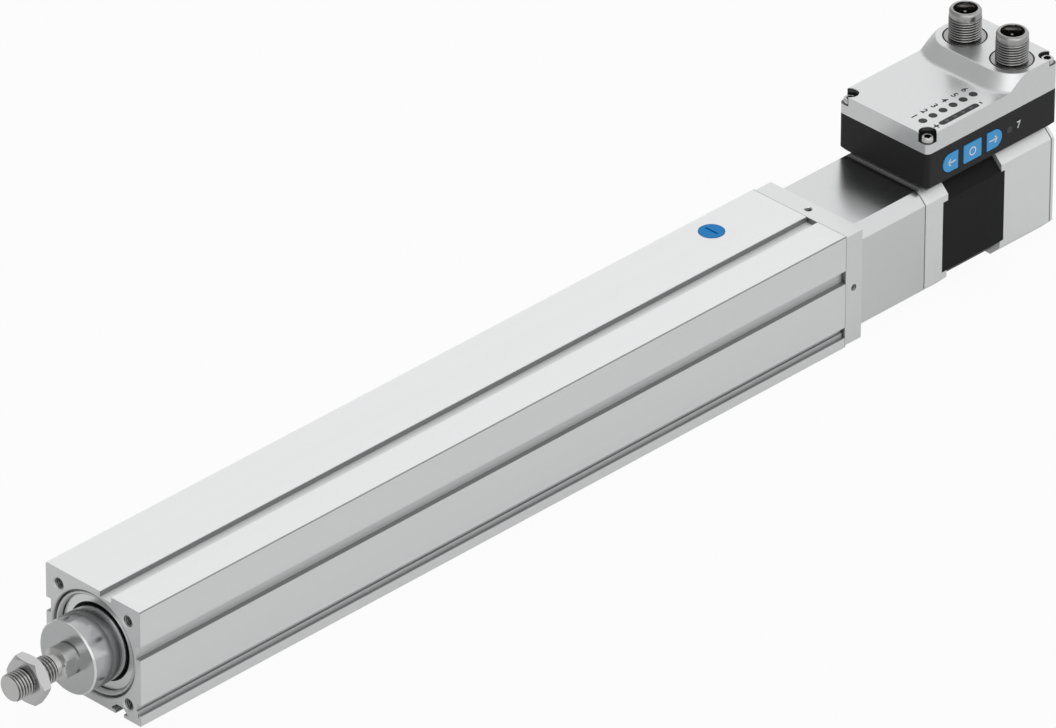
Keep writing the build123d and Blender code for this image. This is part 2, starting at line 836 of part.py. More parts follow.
with BuildPart() as motor_front_bell:
    with BuildSketch(Plane.YZ.offset(motor_front)):
        motor_section(motor_corner)
    extrude(amount=bell_length)
    soften(motor_front_bell, motor_front)
    ears(stack_front, bell_ear)
    turn(tube_outline(pilot_front, motor_front, 0, pilot_radius))
    turn(tube_outline(pilot_front, stack_front, 0, shaft_radius + 1.5), mode=Mode.SUBTRACT)
    turn(tube_outline(
        stack_front - motor_bearing_width, stack_front, 0, motor_bearing_radius,
    ), mode=Mode.SUBTRACT)
    turn(tube_outline(
        stack_front - winding_room, stack_front, winding_inner_radius, winding_outer_radius,
    ), mode=Mode.SUBTRACT)
    drill(motor_front, bell_length, tie_hole_radius, corners(tie_pitch))
    top_hole(front_drive_screw, motor_half, drive_screw_depth, screw_m3 + seat_gap)
keep(motor_front_bell, "motor_front_bell")

with BuildPart() as stator_core:
    with BuildSketch(Plane.YZ.offset(stack_front)):
        motor_section(stack_corner)
        Circle(stator_bore_radius, mode=Mode.SUBTRACT)
        slot_angle = 360 / stator_poles - pole_angle
        for i in range(stator_poles):
            with BuildSketch(mode=Mode.PRIVATE) as slot:
                middle = 360 / stator_poles * (i + 0.5)
                sector(stator_bore_radius - 0.5, slot_outer_radius, middle, slot_angle)
            add(slot.sketch, mode=Mode.SUBTRACT)
    extrude(amount=stack_length)
    drill(stack_front, stack_length, tie_hole_radius, corners(tie_pitch))
keep(stator_core, "stator_core")

with BuildPart() as stator_coils:
    with BuildSketch(Plane.YZ.offset(stack_front - winding_overhang)):
        for i in range(stator_poles):
            sector(
                stator_bore_radius + 0.9, slot_outer_radius - 0.1,
                360 / stator_poles * (i + 0.5), slot_angle - 1.5,
            )
    extrude(amount=stack_length + 2 * winding_overhang)
keep(stator_coils, "stator_coils")

rotor_radius = stator_bore_radius - air_gap
rotor_start = stack_front + 2.8
rotor_end = stack_rear - 2.8
rotor_magnet = 5.6
rotor_middle = (rotor_start + rotor_end) / 2
turned("rotor", [
    (rotor_start, shaft_radius + seat_gap / 2),
    (rotor_end, shaft_radius + seat_gap / 2),
    (rotor_end, rotor_radius),
    (rotor_middle + rotor_magnet / 2, rotor_radius),
    (rotor_middle + rotor_magnet / 2, rotor_radius - 0.6),
    (rotor_middle - rotor_magnet / 2, rotor_radius - 0.6),
    (rotor_middle - rotor_magnet / 2, rotor_radius),
    (rotor_start, rotor_radius),
])
shaft_stand_out = 10.8
encoder_magnet_start = stack_rear + shaft_stand_out
encoder_magnet_length = 3.0
turned("motor_shaft", tube_outline(shaft_start, encoder_magnet_start, 0, shaft_radius))
turned("encoder_magnet", tube_outline(
    encoder_magnet_start, encoder_magnet_start + encoder_magnet_length, 0, shaft_radius + 1.0,
))
with BuildPart() as motor_bearings:
    for start in (stack_front - motor_bearing_width, stack_rear):
        turn(tube_outline(
            start + seat_gap, start + motor_bearing_width - seat_gap,
            shaft_radius + running_gap, motor_bearing_radius - seat_gap,
        ))
keep(motor_bearings, "motor_bearings")

rear_wall = motor_bearing_width + 0.6
cavity_start = stack_rear + rear_wall
cavity_width = motor_width - 2 * rear_cavity_wall
boss_width = 2 * (motor_half - tie_pitch / 2 + 2.8 - rear_cavity_wall)
cable_from_stack = 14.5
cable_place = stack_rear + cable_from_stack
cable_length = 10.0
cable_width = 7.0


def cable_port(level, depth):
    """Round-ended opening that passes the motor's wires up into the drive unit."""
    with BuildSketch(Plane.XY.offset(level)) as port:
        with Locations((cable_place, 0)):
            SlotOverall(cable_length, cable_width)
    extrude(port.sketch, amount=depth, mode=Mode.SUBTRACT)


with BuildPart() as motor_rear_housing:
    with BuildSketch(Plane.YZ.offset(stack_rear)):
        motor_section(motor_corner)
    extrude(amount=rear_housing_length)
    soften(motor_rear_housing, rear_housing_end)
    ears(stack_rear, -rear_ear)
    with BuildSketch(Plane.YZ.offset(cavity_start)):
        Rectangle(cavity_width, cavity_width)
        with Locations(*corners(cavity_width)):
            Rectangle(boss_width, boss_width, mode=Mode.SUBTRACT)
    extrude(amount=rear_housing_end - cavity_start, mode=Mode.SUBTRACT)
    turn(tube_outline(
        stack_rear, stack_rear + motor_bearing_width, 0, motor_bearing_radius,
    ), mode=Mode.SUBTRACT)
    turn(tube_outline(stack_rear, cavity_start, 0, shaft_radius + 1.5), mode=Mode.SUBTRACT)
    turn(tube_outline(
        stack_rear, stack_rear + winding_room, winding_inner_radius, winding_outer_radius,
    ), mode=Mode.SUBTRACT)
    drill(stack_rear, rear_housing_length, tie_hole_radius, corners(tie_pitch))
    top_hole(rear_drive_screw, motor_half, drive_screw_depth, screw_m3 + seat_gap)
    cable_port(motor_half, -(rear_cavity_wall + 0.5))
keep(motor_rear_housing, "motor_rear_housing")

encoder_board_start = encoder_magnet_start + encoder_magnet_length + 1.6
encoder_board_thickness = 1.6
chip_size = 5.0
chip_height = 1.0
with BuildPart() as encoder_board:
    with BuildSketch(Plane.YZ.offset(encoder_board_start)):
        Rectangle(cavity_width - 0.4, cavity_width - 0.4)
        with Locations(*corners(cavity_width)):
            Rectangle(boss_width + 0.6, boss_width + 0.6, mode=Mode.SUBTRACT)
    extrude(amount=encoder_board_thickness)
    with BuildSketch(Plane.YZ.offset(encoder_board_start)):
        Rectangle(chip_size, chip_size)
    extrude(amount=-chip_height)
keep(encoder_board, "encoder_board")

head_cone = 1.5
with BuildPart() as motor_rear_cover:
    with BuildSketch(Plane.YZ.offset(rear_housing_end)):
        motor_section(motor_corner)
    extrude(amount=rear_cover_thickness)
    soften(motor_rear_cover, rear_housing_end)
    soften(motor_rear_cover, motor_end)
    drill(rear_housing_end, rear_cover_thickness, screw_m3 + slide_gap, corners(tie_pitch))
    with BuildSketch(Plane.YZ.offset(motor_end)):
        with Locations(*corners(tie_pitch)):
            Circle(screw_m3 + slide_gap + head_cone)
    extrude(amount=-head_cone, taper=45, mode=Mode.SUBTRACT)
keep(motor_rear_cover, "motor_rear_cover")

with BuildPart() as motor_screws:
    with BuildSketch(Plane.YZ.offset(motor_end)):
        with Locations(*corners(tie_pitch)):
            Circle(screw_m3 + head_cone)
    extrude(amount=-head_cone, taper=45)
    with BuildSketch(Plane.YZ.offset(motor_end)):
        with Locations(*corners(tie_pitch)):
            Circle(screw_m3)
    extrude(amount=-(motor_end - motor_front + tie_screw_depth - 1.0))
    with BuildSketch(Plane.YZ.offset(motor_end)):
        with Locations(*corners(tie_pitch)):
            RegularPolygon(1.15, 6)
    extrude(amount=-head_cone, mode=Mode.SUBTRACT)
keep(motor_screws, "motor_screws")

# Drive unit: the base, which stands on the motor
inner_length = drive_length - 2 * drive_wall
inner_width = drive_width - 2 * drive_wall
screw_x = [drive_front + cover_screw_inset, drive_rear - cover_screw_inset]
screw_y = drive_half - cover_screw_inset
front_corners = [(screw_x[0], -screw_y), (screw_x[0], screw_y)]
rear_corners = [(screw_x[1], -screw_y), (screw_x[1], screw_y)]
boss_radius = 2.9
cover_thread_radius = 1.25
post_radius = 2.2
board_level = base_bottom + drive_floor + 3.0
board_thickness = 1.6
seal_groove_width = 0.9
seal_groove_depth = 0.7
wall_middle = drive_wall / 2
post_reach = 20.0
post_sides = (-8.0, 14.0)
post_places = [(drive_middle + a * post_reach, b) for a in (-1, 1) for b in post_sides]


def drive_outline(inset):
    """Outline of the drive unit in the active sketch, moved inwards by inset."""
    with Locations((drive_middle, 0)):
        RectangleRounded(drive_length - 2 * inset, drive_width - 2 * inset, max(drive_corner - inset, 0.5))


def seal_band(width):
    """Closed band in the middle of the base's wall, in the active sketch."""
    drive_outline(wall_middle - width / 2)
    with BuildSketch(mode=Mode.PRIVATE) as inside:
        drive_outline(wall_middle + width / 2)
    add(inside.sketch, mode=Mode.SUBTRACT)


def button_face(kind, grow):
    """Face of a button in the active sketch: a rectangle, or one with a round end to the left or right."""
    height = button_height + 2 * grow
    if kind == 0:
        Rectangle(button_width + 2 * grow, height)
        fillet(vertices(), 0.5 + grow)
        return
    width = button_end_width + 2 * grow
    straight = width - height / 2
    with Locations((-kind * (width / 2 - straight / 2), 0)):
        Rectangle(straight, height)
    with Locations((kind * (width / 2 - height / 2), 0)):
        Circle(height / 2)


def button_plane(depth):
    """Plane of the control side at a depth behind its face, looking out, with +X to the right."""
    return Plane(origin=(0, -drive_half + depth, 0), x_dir=(1, 0, 0), z_dir=(0, -1, 0))


buttons = {"button_left": -1, "button_middle": 0, "button_right": 1}
with BuildPart() as drive_base:
    with BuildSketch(Plane.XY.offset(base_bottom)):
        with Locations((drive_middle, 0)):
            Rectangle(drive_length, drive_width)
            fillet(vertices(), drive_corner)
    extrude(amount=base_height)
    bevel_edges = drive_base.edges().group_by(Axis.Z)[0].filter_by(Axis.X)
    chamfer(bevel_edges, base_bevel - 0.1)
    with BuildSketch(Plane.XY.offset(base_bottom + drive_floor)):
        with Locations((drive_middle, 0)):
            Rectangle(inner_length, inner_width)
            fillet(vertices(), 1.0)
    extrude(amount=base_height, mode=Mode.SUBTRACT)
    with BuildSketch(Plane.XY.offset(base_bottom + drive_floor - 0.5)):
        with Locations(*front_corners, *rear_corners):
            Circle(boss_radius)
        with Locations((drive_middle, 0)):
            Rectangle(inner_length + 1.0, inner_width + 1.0, mode=Mode.INTERSECT)
    extrude(amount=base_height - drive_floor + 0.5)
    with BuildSketch(Plane.XY.offset(base_bottom + drive_floor - 0.5)):
        with Locations(*post_places):
            Circle(post_radius)
    extrude(amount=board_level - base_bottom - drive_floor + 0.5)
    with BuildSketch(Plane.XY.offset(split_level)):
        with Locations(*front_corners, *rear_corners):
            Circle(cover_thread_radius)
    extrude(amount=-10.0, mode=Mode.SUBTRACT)
    with BuildSketch(Plane.XY.offset(split_level)):
        seal_band(seal_groove_width)
    extrude(amount=-seal_groove_depth, mode=Mode.SUBTRACT)
    for i, kind in enumerate(buttons.values()):
        with BuildSketch(button_plane(-1.0)):
            with Locations((button_row + button_pitch * (i - 1), button_level)):
                button_face(kind, button_gap)
        extrude(amount=-(drive_wall + 1.5), mode=Mode.SUBTRACT)
    with BuildSketch(button_plane(-1.0)):
        with Locations((drive_front + link_light_place, button_level + 0.4)):
            Circle(link_light_radius + light_gap)
    extrude(amount=-(drive_wall + 1.5), mode=Mode.SUBTRACT)
    for x in (front_drive_screw, rear_drive_screw):
        top_hole(x, base_bottom + drive_floor + 0.2, drive_floor + 0.4, screw_m3 + slide_gap)
    cable_port(base_bottom - 0.2, drive_floor + 0.4)
keep(drive_base, "drive_base")

# Keys: a face in the window of the base, a flange behind the wall and a stem for the switch
key_flange = 0.8
key_overlap = 0.6
key_stem_radius = 1.2
key_stem_length = 1.0
key_back = drive_wall + seat_gap
for i, (name, kind) in enumerate(buttons.items()):
    place = (button_row + button_pitch * (i - 1), button_level)
    with BuildPart() as key:
        with BuildSketch(button_plane(-button_proud)):
            with Locations(place):
                button_face(kind, 0)
        extrude(amount=-(key_back + button_proud))
        fillet(key.faces().sort_by(Axis.Y)[0].edges(), 0.15)
        with BuildSketch(button_plane(key_back)):
            with Locations(place):
                button_face(kind, button_gap + key_overlap)
        extrude(amount=-key_flange)
        with BuildSketch(button_plane(key_back + key_flange)):
            with Locations(place):
                Circle(key_stem_radius)
        extrude(amount=-key_stem_length)
    keep(key, name)

# Board with the key switches, upright behind the keys
switch_height = 1.2
switch_size = 4.0
switch_room = 0.05
switch_board_depth = key_back + key_flange + key_stem_length + button_travel + switch_room + switch_height
switch_board_thickness = 1.2
switch_board_height = 9.6
switch_board_length = 3 * button_pitch + 1.0
with BuildPart() as switch_board:
    with BuildSketch(button_plane(switch_board_depth)):
        with Locations((button_row, button_level)):
            Rectangle(switch_board_length, switch_board_height)
    extrude(amount=-switch_board_thickness)
    with BuildSketch(button_plane(switch_board_depth)):
        with Locations(*[(button_row + button_pitch * i, button_level) for i in (-1, 0, 1)]):
            Rectangle(switch_size, switch_size)
    extrude(amount=switch_height)
keep(switch_board, "switch_board")

# Main circuit board on the posts of the base, and what stands on it
board_front = drive_front + drive_wall + 0.4
board_rear = drive_rear - drive_wall - 0.4
board_near = -drive_half + switch_board_depth + switch_board_thickness
board_far = drive_half - drive_wall - 0.4
board_notch = 2 * (cover_screw_inset + boss_radius - drive_wall + 0.4)
board_top = board_level + board_thickness
power_chip = 5.0
main_chip = 9.0
chip_level = 1.2
chip_side = -6.0
chip_pitch = 7.0
main_chip_shift = 6.0
power_chip_shift = 6.5
main_chip_x = drive_middle - main_chip_shift
power_chip_x = drive_middle + power_chip_shift
with BuildPart() as circuit_board:
    with BuildSketch(Plane.XY.offset(board_level)):
        with Locations(((board_front + board_rear) / 2, (board_near + board_far) / 2)):
            Rectangle(board_rear - board_front, board_far - board_near)
        with Locations((board_front, board_far), (board_rear, board_far)):
            Rectangle(board_notch, board_notch, mode=Mode.SUBTRACT)
    extrude(amount=board_thickness)
    with BuildSketch(Plane.XY.offset(board_top)):
        with Locations((main_chip_x, chip_side)):
            Rectangle(main_chip, main_chip)
        rows = [(i * chip_pitch, j * chip_pitch) for i in (0, 1) for j in (0, 1)]
        with Locations(*[(power_chip_x + dx, chip_side + dy) for dx, dy in rows]):
            Rectangle(power_chip, power_chip)
    extrude(amount=chip_level)
keep(circuit_board, "circuit_board")

capacitor_radius = 5.0
capacitor_height = 11.0
capacitor_pitch = 10.8
capacitor_place = 13.0
capacitor_side = 9.0
with BuildPart() as board_capacitors:
    with BuildSketch(Plane.XY.offset(board_top)):
        first = drive_front + capacitor_place
        with Locations(*[(first + capacitor_pitch * i, capacitor_side) for i in range(3)]):
            Circle(capacitor_radius)
    extrude(amount=capacitor_height)
keep(board_capacitors, "board_capacitors")

# Cover of the drive unit: low over the lights, and raised in a rounded ramp under the connectors
pillar_radius = cover_recess_radius + 1.2
neck_radius = 6.4
low_roof = low_top - cover_wall
high_roof = high_top - cover_wall
connector_nut_radius = neck_radius + 1.3
high_pocket_front = connector_x - connector_nut_radius - 0.4
high_pocket_rear = drive_rear - cover_wall
high_pocket_corner = 8.0
connector_places = [(connector_x, -connector_side), (connector_x, connector_side)]
light_places = [(drive_front + light_first + light_pitch * i, -light_side) for i in range(lights)]
bar_spot = (drive_front + bar_place, -bar_side)
with BuildPart() as drive_cover:
    with BuildSketch(Plane.XY.offset(low_top)):
        block = 2 * drive_length
        with Locations((drive_rear - rise_from_rear + block / 2, 0)):
            RectangleRounded(block, rise_straight + 2 * rise_corner, rise_corner)
    extrude(amount=cover_rise, taper=rise_slope)
    with BuildSketch(Plane.XY.offset(low_top)):
        drive_outline(0)
    extrude(amount=cover_rise, mode=Mode.INTERSECT)
    with BuildSketch(Plane.XY.offset(split_level)):
        drive_outline(0)
    extrude(amount=cover_low_height)
    slope = [f for f in drive_cover.faces() if 0.1 < f.normal_at().Z < 0.9]
    foot = [e for f in slope for e in f.edges() if abs(e.center().Z - low_top) < 0.01]
    fillet(foot, foot_round)
    tops = [e for e in drive_cover.edges() if abs(e.center().Z - high_top) < 0.01]
    brow = [e for e in tops if e.center().X < connector_x and abs(e.center().Y) < drive_half - 1.0]
    fillet(brow, brow_round)
    with BuildSketch(Plane.XY.offset(split_level)) as low_pocket:
        drive_outline(cover_wall)
        with BuildSketch(mode=Mode.PRIVATE) as pillars:
            with Locations(*front_corners, *rear_corners):
                Circle(pillar_radius)
        add(pillars.sketch, mode=Mode.SUBTRACT)
    extrude(amount=low_roof - split_level, mode=Mode.SUBTRACT)
    with BuildSketch(Plane.XY.offset(low_roof - 0.5)):
        with Locations(((high_pocket_front + high_pocket_rear) / 2, 0)):
            RectangleRounded(
                high_pocket_rear - high_pocket_front, drive_width - 2 * cover_wall, high_pocket_corner,
            )
        with Locations(*rear_corners):
            Circle(pillar_radius, mode=Mode.SUBTRACT)
    extrude(amount=high_roof - low_roof + 0.5, mode=Mode.SUBTRACT)
    for places, top, depth in (
        (front_corners, low_top, front_recess_depth),
        (rear_corners, high_top, rear_recess_depth),
    ):
        with BuildSketch(Plane.XY.offset(top)):
            with Locations(*places):
                Circle(cover_recess_radius)
        extrude(amount=-depth, mode=Mode.SUBTRACT)
        with BuildSketch(Plane.XY.offset(split_level)):
            with Locations(*places):
                Circle(cover_thread_radius + slide_gap)
        extrude(amount=top - split_level, mode=Mode.SUBTRACT)
    with BuildSketch(Plane.XY.offset(low_top)):
        with Locations(*light_places):
            Circle(light_radius)
    extrude(amount=-2 * cover_wall, mode=Mode.SUBTRACT)
    with BuildSketch(Plane.XY.offset(low_top)):
        with Locations(bar_spot):
            SlotOverall(bar_length, bar_width)
    extrude(amount=-bar_depth, mode=Mode.SUBTRACT)
    with BuildSketch(Plane.XY.offset(high_top)):
        with Locations(*connector_places):
            Circle(connector_flange_radius + connector_seal_width)
    extrude(amount=-connector_flange_thickness, mode=Mode.SUBTRACT)
    with BuildSketch(Plane.XY.offset(high_top)):
        with Locations(*connector_places):
            Circle(neck_radius + seat_gap)
    extrude(amount=-cover_wall - 1.0, mode=Mode.SUBTRACT)
keep(drive_cover, "drive_cover")


def upright(name, level, height, places, radius, hole=0.0):
    """Round pieces standing on a level, one at each place."""
    with BuildPart() as pieces:
        with BuildSketch(Plane.XY.offset(level)) as rounds:
            with Locations(*places):
                Circle(radius)
                if hole > 0:
                    Circle(hole, mode=Mode.SUBTRACT)
        extrude(rounds.sketch, amount=height)
    keep(pieces, name)


# Lights: round windows and the bar on top, and a round window on the side
window_length = cover_wall + 0.9
with BuildPart() as light_windows:
    with BuildSketch(Plane.XY.offset(low_top)):
        with Locations(*light_places):
            Circle(light_radius - light_gap)
    extrude(amount=-window_length)
    with BuildSketch(button_plane(0)):
        with Locations((drive_front + link_light_place, button_level + 0.4)):
            Circle(link_light_radius)
    extrude(amount=-drive_wall)
keep(light_windows, "light_windows")
with BuildPart() as bar_display:
    with BuildSketch(Plane.XY.offset(low_top)):
        with Locations(bar_spot):
            SlotOverall(bar_length - 2 * light_gap, bar_width - 2 * light_gap)
    extrude(amount=-bar_depth)
keep(bar_display, "bar_display")
# Cover seal and screws
with BuildPart() as cover_seal:
    with BuildSketch(Plane.XY.offset(split_level)):
        seal_band(seal_groove_width - 2 * seat_gap)
    extrude(amount=-seal_groove_depth)
keep(cover_seal, "cover_seal")
screw_grip = 7.0
with BuildPart() as cover_screws:
    for places, top, depth in (
        (front_corners, low_top, front_recess_depth),
        (rear_corners, high_top, rear_recess_depth),
    ):
        seat = top - depth
        with BuildSketch(Plane.XY.offset(seat)):
            with Locations(*places):
                Circle(cover_screw_head_radius)
        extrude(amount=cover_screw_head_height)
        with BuildSketch(Plane.XY.offset(seat)):
            with Locations(*places):
                Circle(cover_thread_radius - seat_gap)
        extrude(amount=-(seat - split_level + screw_grip))
        with BuildSketch(Plane.XY.offset(seat + cover_screw_head_height)):
            with Locations(*places):
                RegularPolygon(socket_m2_5, 6)
        extrude(amount=-cover_screw_head_height / 2, mode=Mode.SUBTRACT)
keep(cover_screws, "cover_screws")

# Screws that hold the drive unit on the motor
drive_screw_level = base_bottom + drive_floor
drive_screw_head = 2.2
with BuildPart() as drive_screws:
    for x in (front_drive_screw, rear_drive_screw):
        with BuildSketch(Plane.XY.offset(drive_screw_level)):
            with Locations((x, 0)):
                Circle(head_m3)
        extrude(amount=drive_screw_head)
        with BuildSketch(Plane.XY.offset(drive_screw_level)):
            with Locations((x, 0)):
                Circle(screw_m3)
        extrude(amount=-(drive_floor + drive_screw_depth - 0.3))
        with BuildSketch(Plane.XY.offset(drive_screw_level + drive_screw_head)):
            with Locations((x, 0)):
                RegularPolygon(socket_m3, 6)
        extrude(amount=-drive_screw_head / 2, mode=Mode.SUBTRACT)
keep(drive_screws, "drive_screws")

# Round connectors: metal shells, insulators with pins, nuts and gaskets
shell_bottom = high_roof - 4.4
connector_top = high_top + connector_height
insert_top = connector_top - connector_cavity_depth
insert_bottom = shell_bottom - 1.0
shell_hole_radius = connector_cavity_radius
pin_radius = 0.5
pin_circle_radius = 2.5
pin_length = 5.0
connector_nut_height = 2.6
rim_edge = 0.9


def connector(side, name):
    """Metal shell of one connector."""
    place = (connector_x, side)
    with BuildPart() as shell:
        for level, height, radius in (
            (high_top - connector_flange_thickness, connector_flange_thickness, connector_flange_radius),
            (high_top, connector_height, connector_thread_radius),
            (shell_bottom, high_top - connector_flange_thickness - shell_bottom, neck_radius),
        ):
            with BuildSketch(Plane.XY.offset(level)) as disc:
                with Locations(place):
                    Circle(radius)
            extrude(disc.sketch, amount=height)
        chamfer(shell.edges().group_by(Axis.Z)[-1], rim_edge)
        with BuildSketch(Plane.XY.offset(shell_bottom)) as hole:
            with Locations(place):
                Circle(shell_hole_radius)
        extrude(hole.sketch, amount=connector_top - shell_bottom, mode=Mode.SUBTRACT)
    keep(shell, name)


connector(-connector_side, "power_connector")
connector(connector_side, "signal_connector")
pins = [
    (x + dx, y + dy)
    for x, y in connector_places
    for dx, dy in [(0, 0)] + ring_places(pin_circle_radius, pins_per_connector - 1, 45)
]
with BuildPart() as connector_inserts:
    with BuildSketch(Plane.XY.offset(insert_bottom)):
        with Locations(*connector_places):
            Circle(shell_hole_radius - seat_gap)
    extrude(amount=insert_top - insert_bottom)
keep(connector_inserts, "connector_inserts")
upright("connector_pins", insert_top, pin_length, pins, pin_radius)
upright(
    "connector_gaskets", high_top - connector_flange_thickness, connector_flange_thickness,
    connector_places, connector_flange_radius + connector_seal_width - light_gap,
    connector_flange_radius + light_gap,
)
upright(
    "connector_nuts", high_roof - connector_nut_height, connector_nut_height - seat_gap,
    connector_places, connector_nut_radius, neck_radius + seat_gap,
)
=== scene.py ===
"""Looks of the electric cylinder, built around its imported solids."""

import logging
from collections.abc import Callable
from dataclasses import dataclass, field
from enum import Enum
from functools import partial
from math import radians

import bmesh
import bpy
import numpy as np
from bpy.types import Material, NodeSocket, NodeTree, Object
from mathutils import Matrix, Vector

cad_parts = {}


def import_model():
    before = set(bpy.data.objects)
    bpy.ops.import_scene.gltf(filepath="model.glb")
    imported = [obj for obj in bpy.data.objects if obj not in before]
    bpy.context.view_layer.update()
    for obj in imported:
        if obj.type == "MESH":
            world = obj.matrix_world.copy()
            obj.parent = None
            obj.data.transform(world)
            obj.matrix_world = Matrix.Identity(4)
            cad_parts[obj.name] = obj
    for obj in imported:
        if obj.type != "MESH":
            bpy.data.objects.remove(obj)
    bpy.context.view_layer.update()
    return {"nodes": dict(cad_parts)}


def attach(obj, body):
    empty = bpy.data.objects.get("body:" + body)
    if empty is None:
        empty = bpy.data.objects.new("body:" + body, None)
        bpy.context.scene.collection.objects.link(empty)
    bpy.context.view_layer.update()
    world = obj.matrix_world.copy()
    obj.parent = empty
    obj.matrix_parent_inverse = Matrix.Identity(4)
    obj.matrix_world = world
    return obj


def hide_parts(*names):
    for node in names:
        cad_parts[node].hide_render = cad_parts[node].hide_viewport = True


LOG = logging.getLogger("electric_cylinder")
Pair = tuple[float, float]
Triple = tuple[float, float, float]
MM = 0.001
WHITE = (1.0, 1.0, 1.0, 1.0)
PLAIN_GREY = (0.8, 0.8, 0.8, 1.0)
DARK_SHADE = (0.05, 0.05, 0.05, 1.0)
ROOT_SHADE = (0.02, 0.02, 0.02, 1.0)
COAT_ROUGHNESS = 0.15
BUMP_DISTANCE = 0.05  # millimetres
COARSE_SHARE = 0.12  # scale of the coarse noise over that of the fine one
MERGE_DISTANCE = 1e-7  # metres
SHARP_ANGLE = 35  # degrees
SMALLEST = 1e-6  # keeps a divisor over zero
ANY_HEIGHT = -100  # millimetres, below the whole object


def add_node(tree: NodeTree, kind: str, inputs: dict | None = None, **settings: object) -> bpy.types.Node:
    """Add a shader node.

    Args:
        tree: The node tree.
        kind: The node's type, without its prefix.
        inputs: A value or a socket for each input, by name or number.
        settings: Values of the node's own properties, which are set first.

    Returns:
        The node.
    """
    node = tree.nodes.new(f"ShaderNode{kind}")
    for key, value in settings.items():
        setattr(node, key, value)
    for key, value in (inputs or {}).items():
        if isinstance(value, NodeSocket):
            tree.links.new(value, node.inputs[key])
        else:
            node.inputs[key].default_value = value
    return node


def maths(tree: NodeTree, operation: str, *values: float | NodeSocket, clamp: bool = False) -> NodeSocket:
    """Add a math node.

    Args:
        tree: The node tree.
        operation: Name of the operation.
        values: Numbers or sockets for its inputs.
        clamp: Whether the result is kept between 0 and 1.

    Returns:
        The output socket.
    """
    return add_node(tree, "Math", dict(enumerate(values)), operation=operation, use_clamp=clamp).outputs[0]


def blend(tree: NodeTree, factor: NodeSocket, base: NodeSocket, shade: NodeSocket | tuple) -> NodeSocket:
    """Blend two colours.

    Args:
        tree: The node tree.
        factor: Socket that says how much of the shade shows.
        base: The colour where the factor is 0.
        shade: The colour where it is 1.

    Returns:
        The colour socket.
    """
    inputs = {"Factor": factor, "A": base, "B": shade}
    return add_node(tree, "Mix", inputs, data_type="RGBA").outputs["Result"]


def new_object(name: str, data: bpy.types.ID) -> Object:
    """Make an object.

    Args:
        name: Its name.
        data: Its mesh, curve, light or camera.

    Returns:
        The object, linked to the scene.
    """
    made = bpy.data.objects.new(name, data)
    bpy.context.scene.collection.objects.link(made)
    return made


class Texture(Enum):
    """Kinds of fine surface, as the scales of the coordinates that draw a texture out along one axis."""

    GRAIN = (1.0, 1.0, 1.0)
    DRAWN = (0.02, 1.0, 1.0)
    TURNED = (1.0, 0.03, 0.03)
    LAYERED = (1.0, 0.01, 0.01)


GRAIN, DRAWN, TURNED, LAYERED = Texture


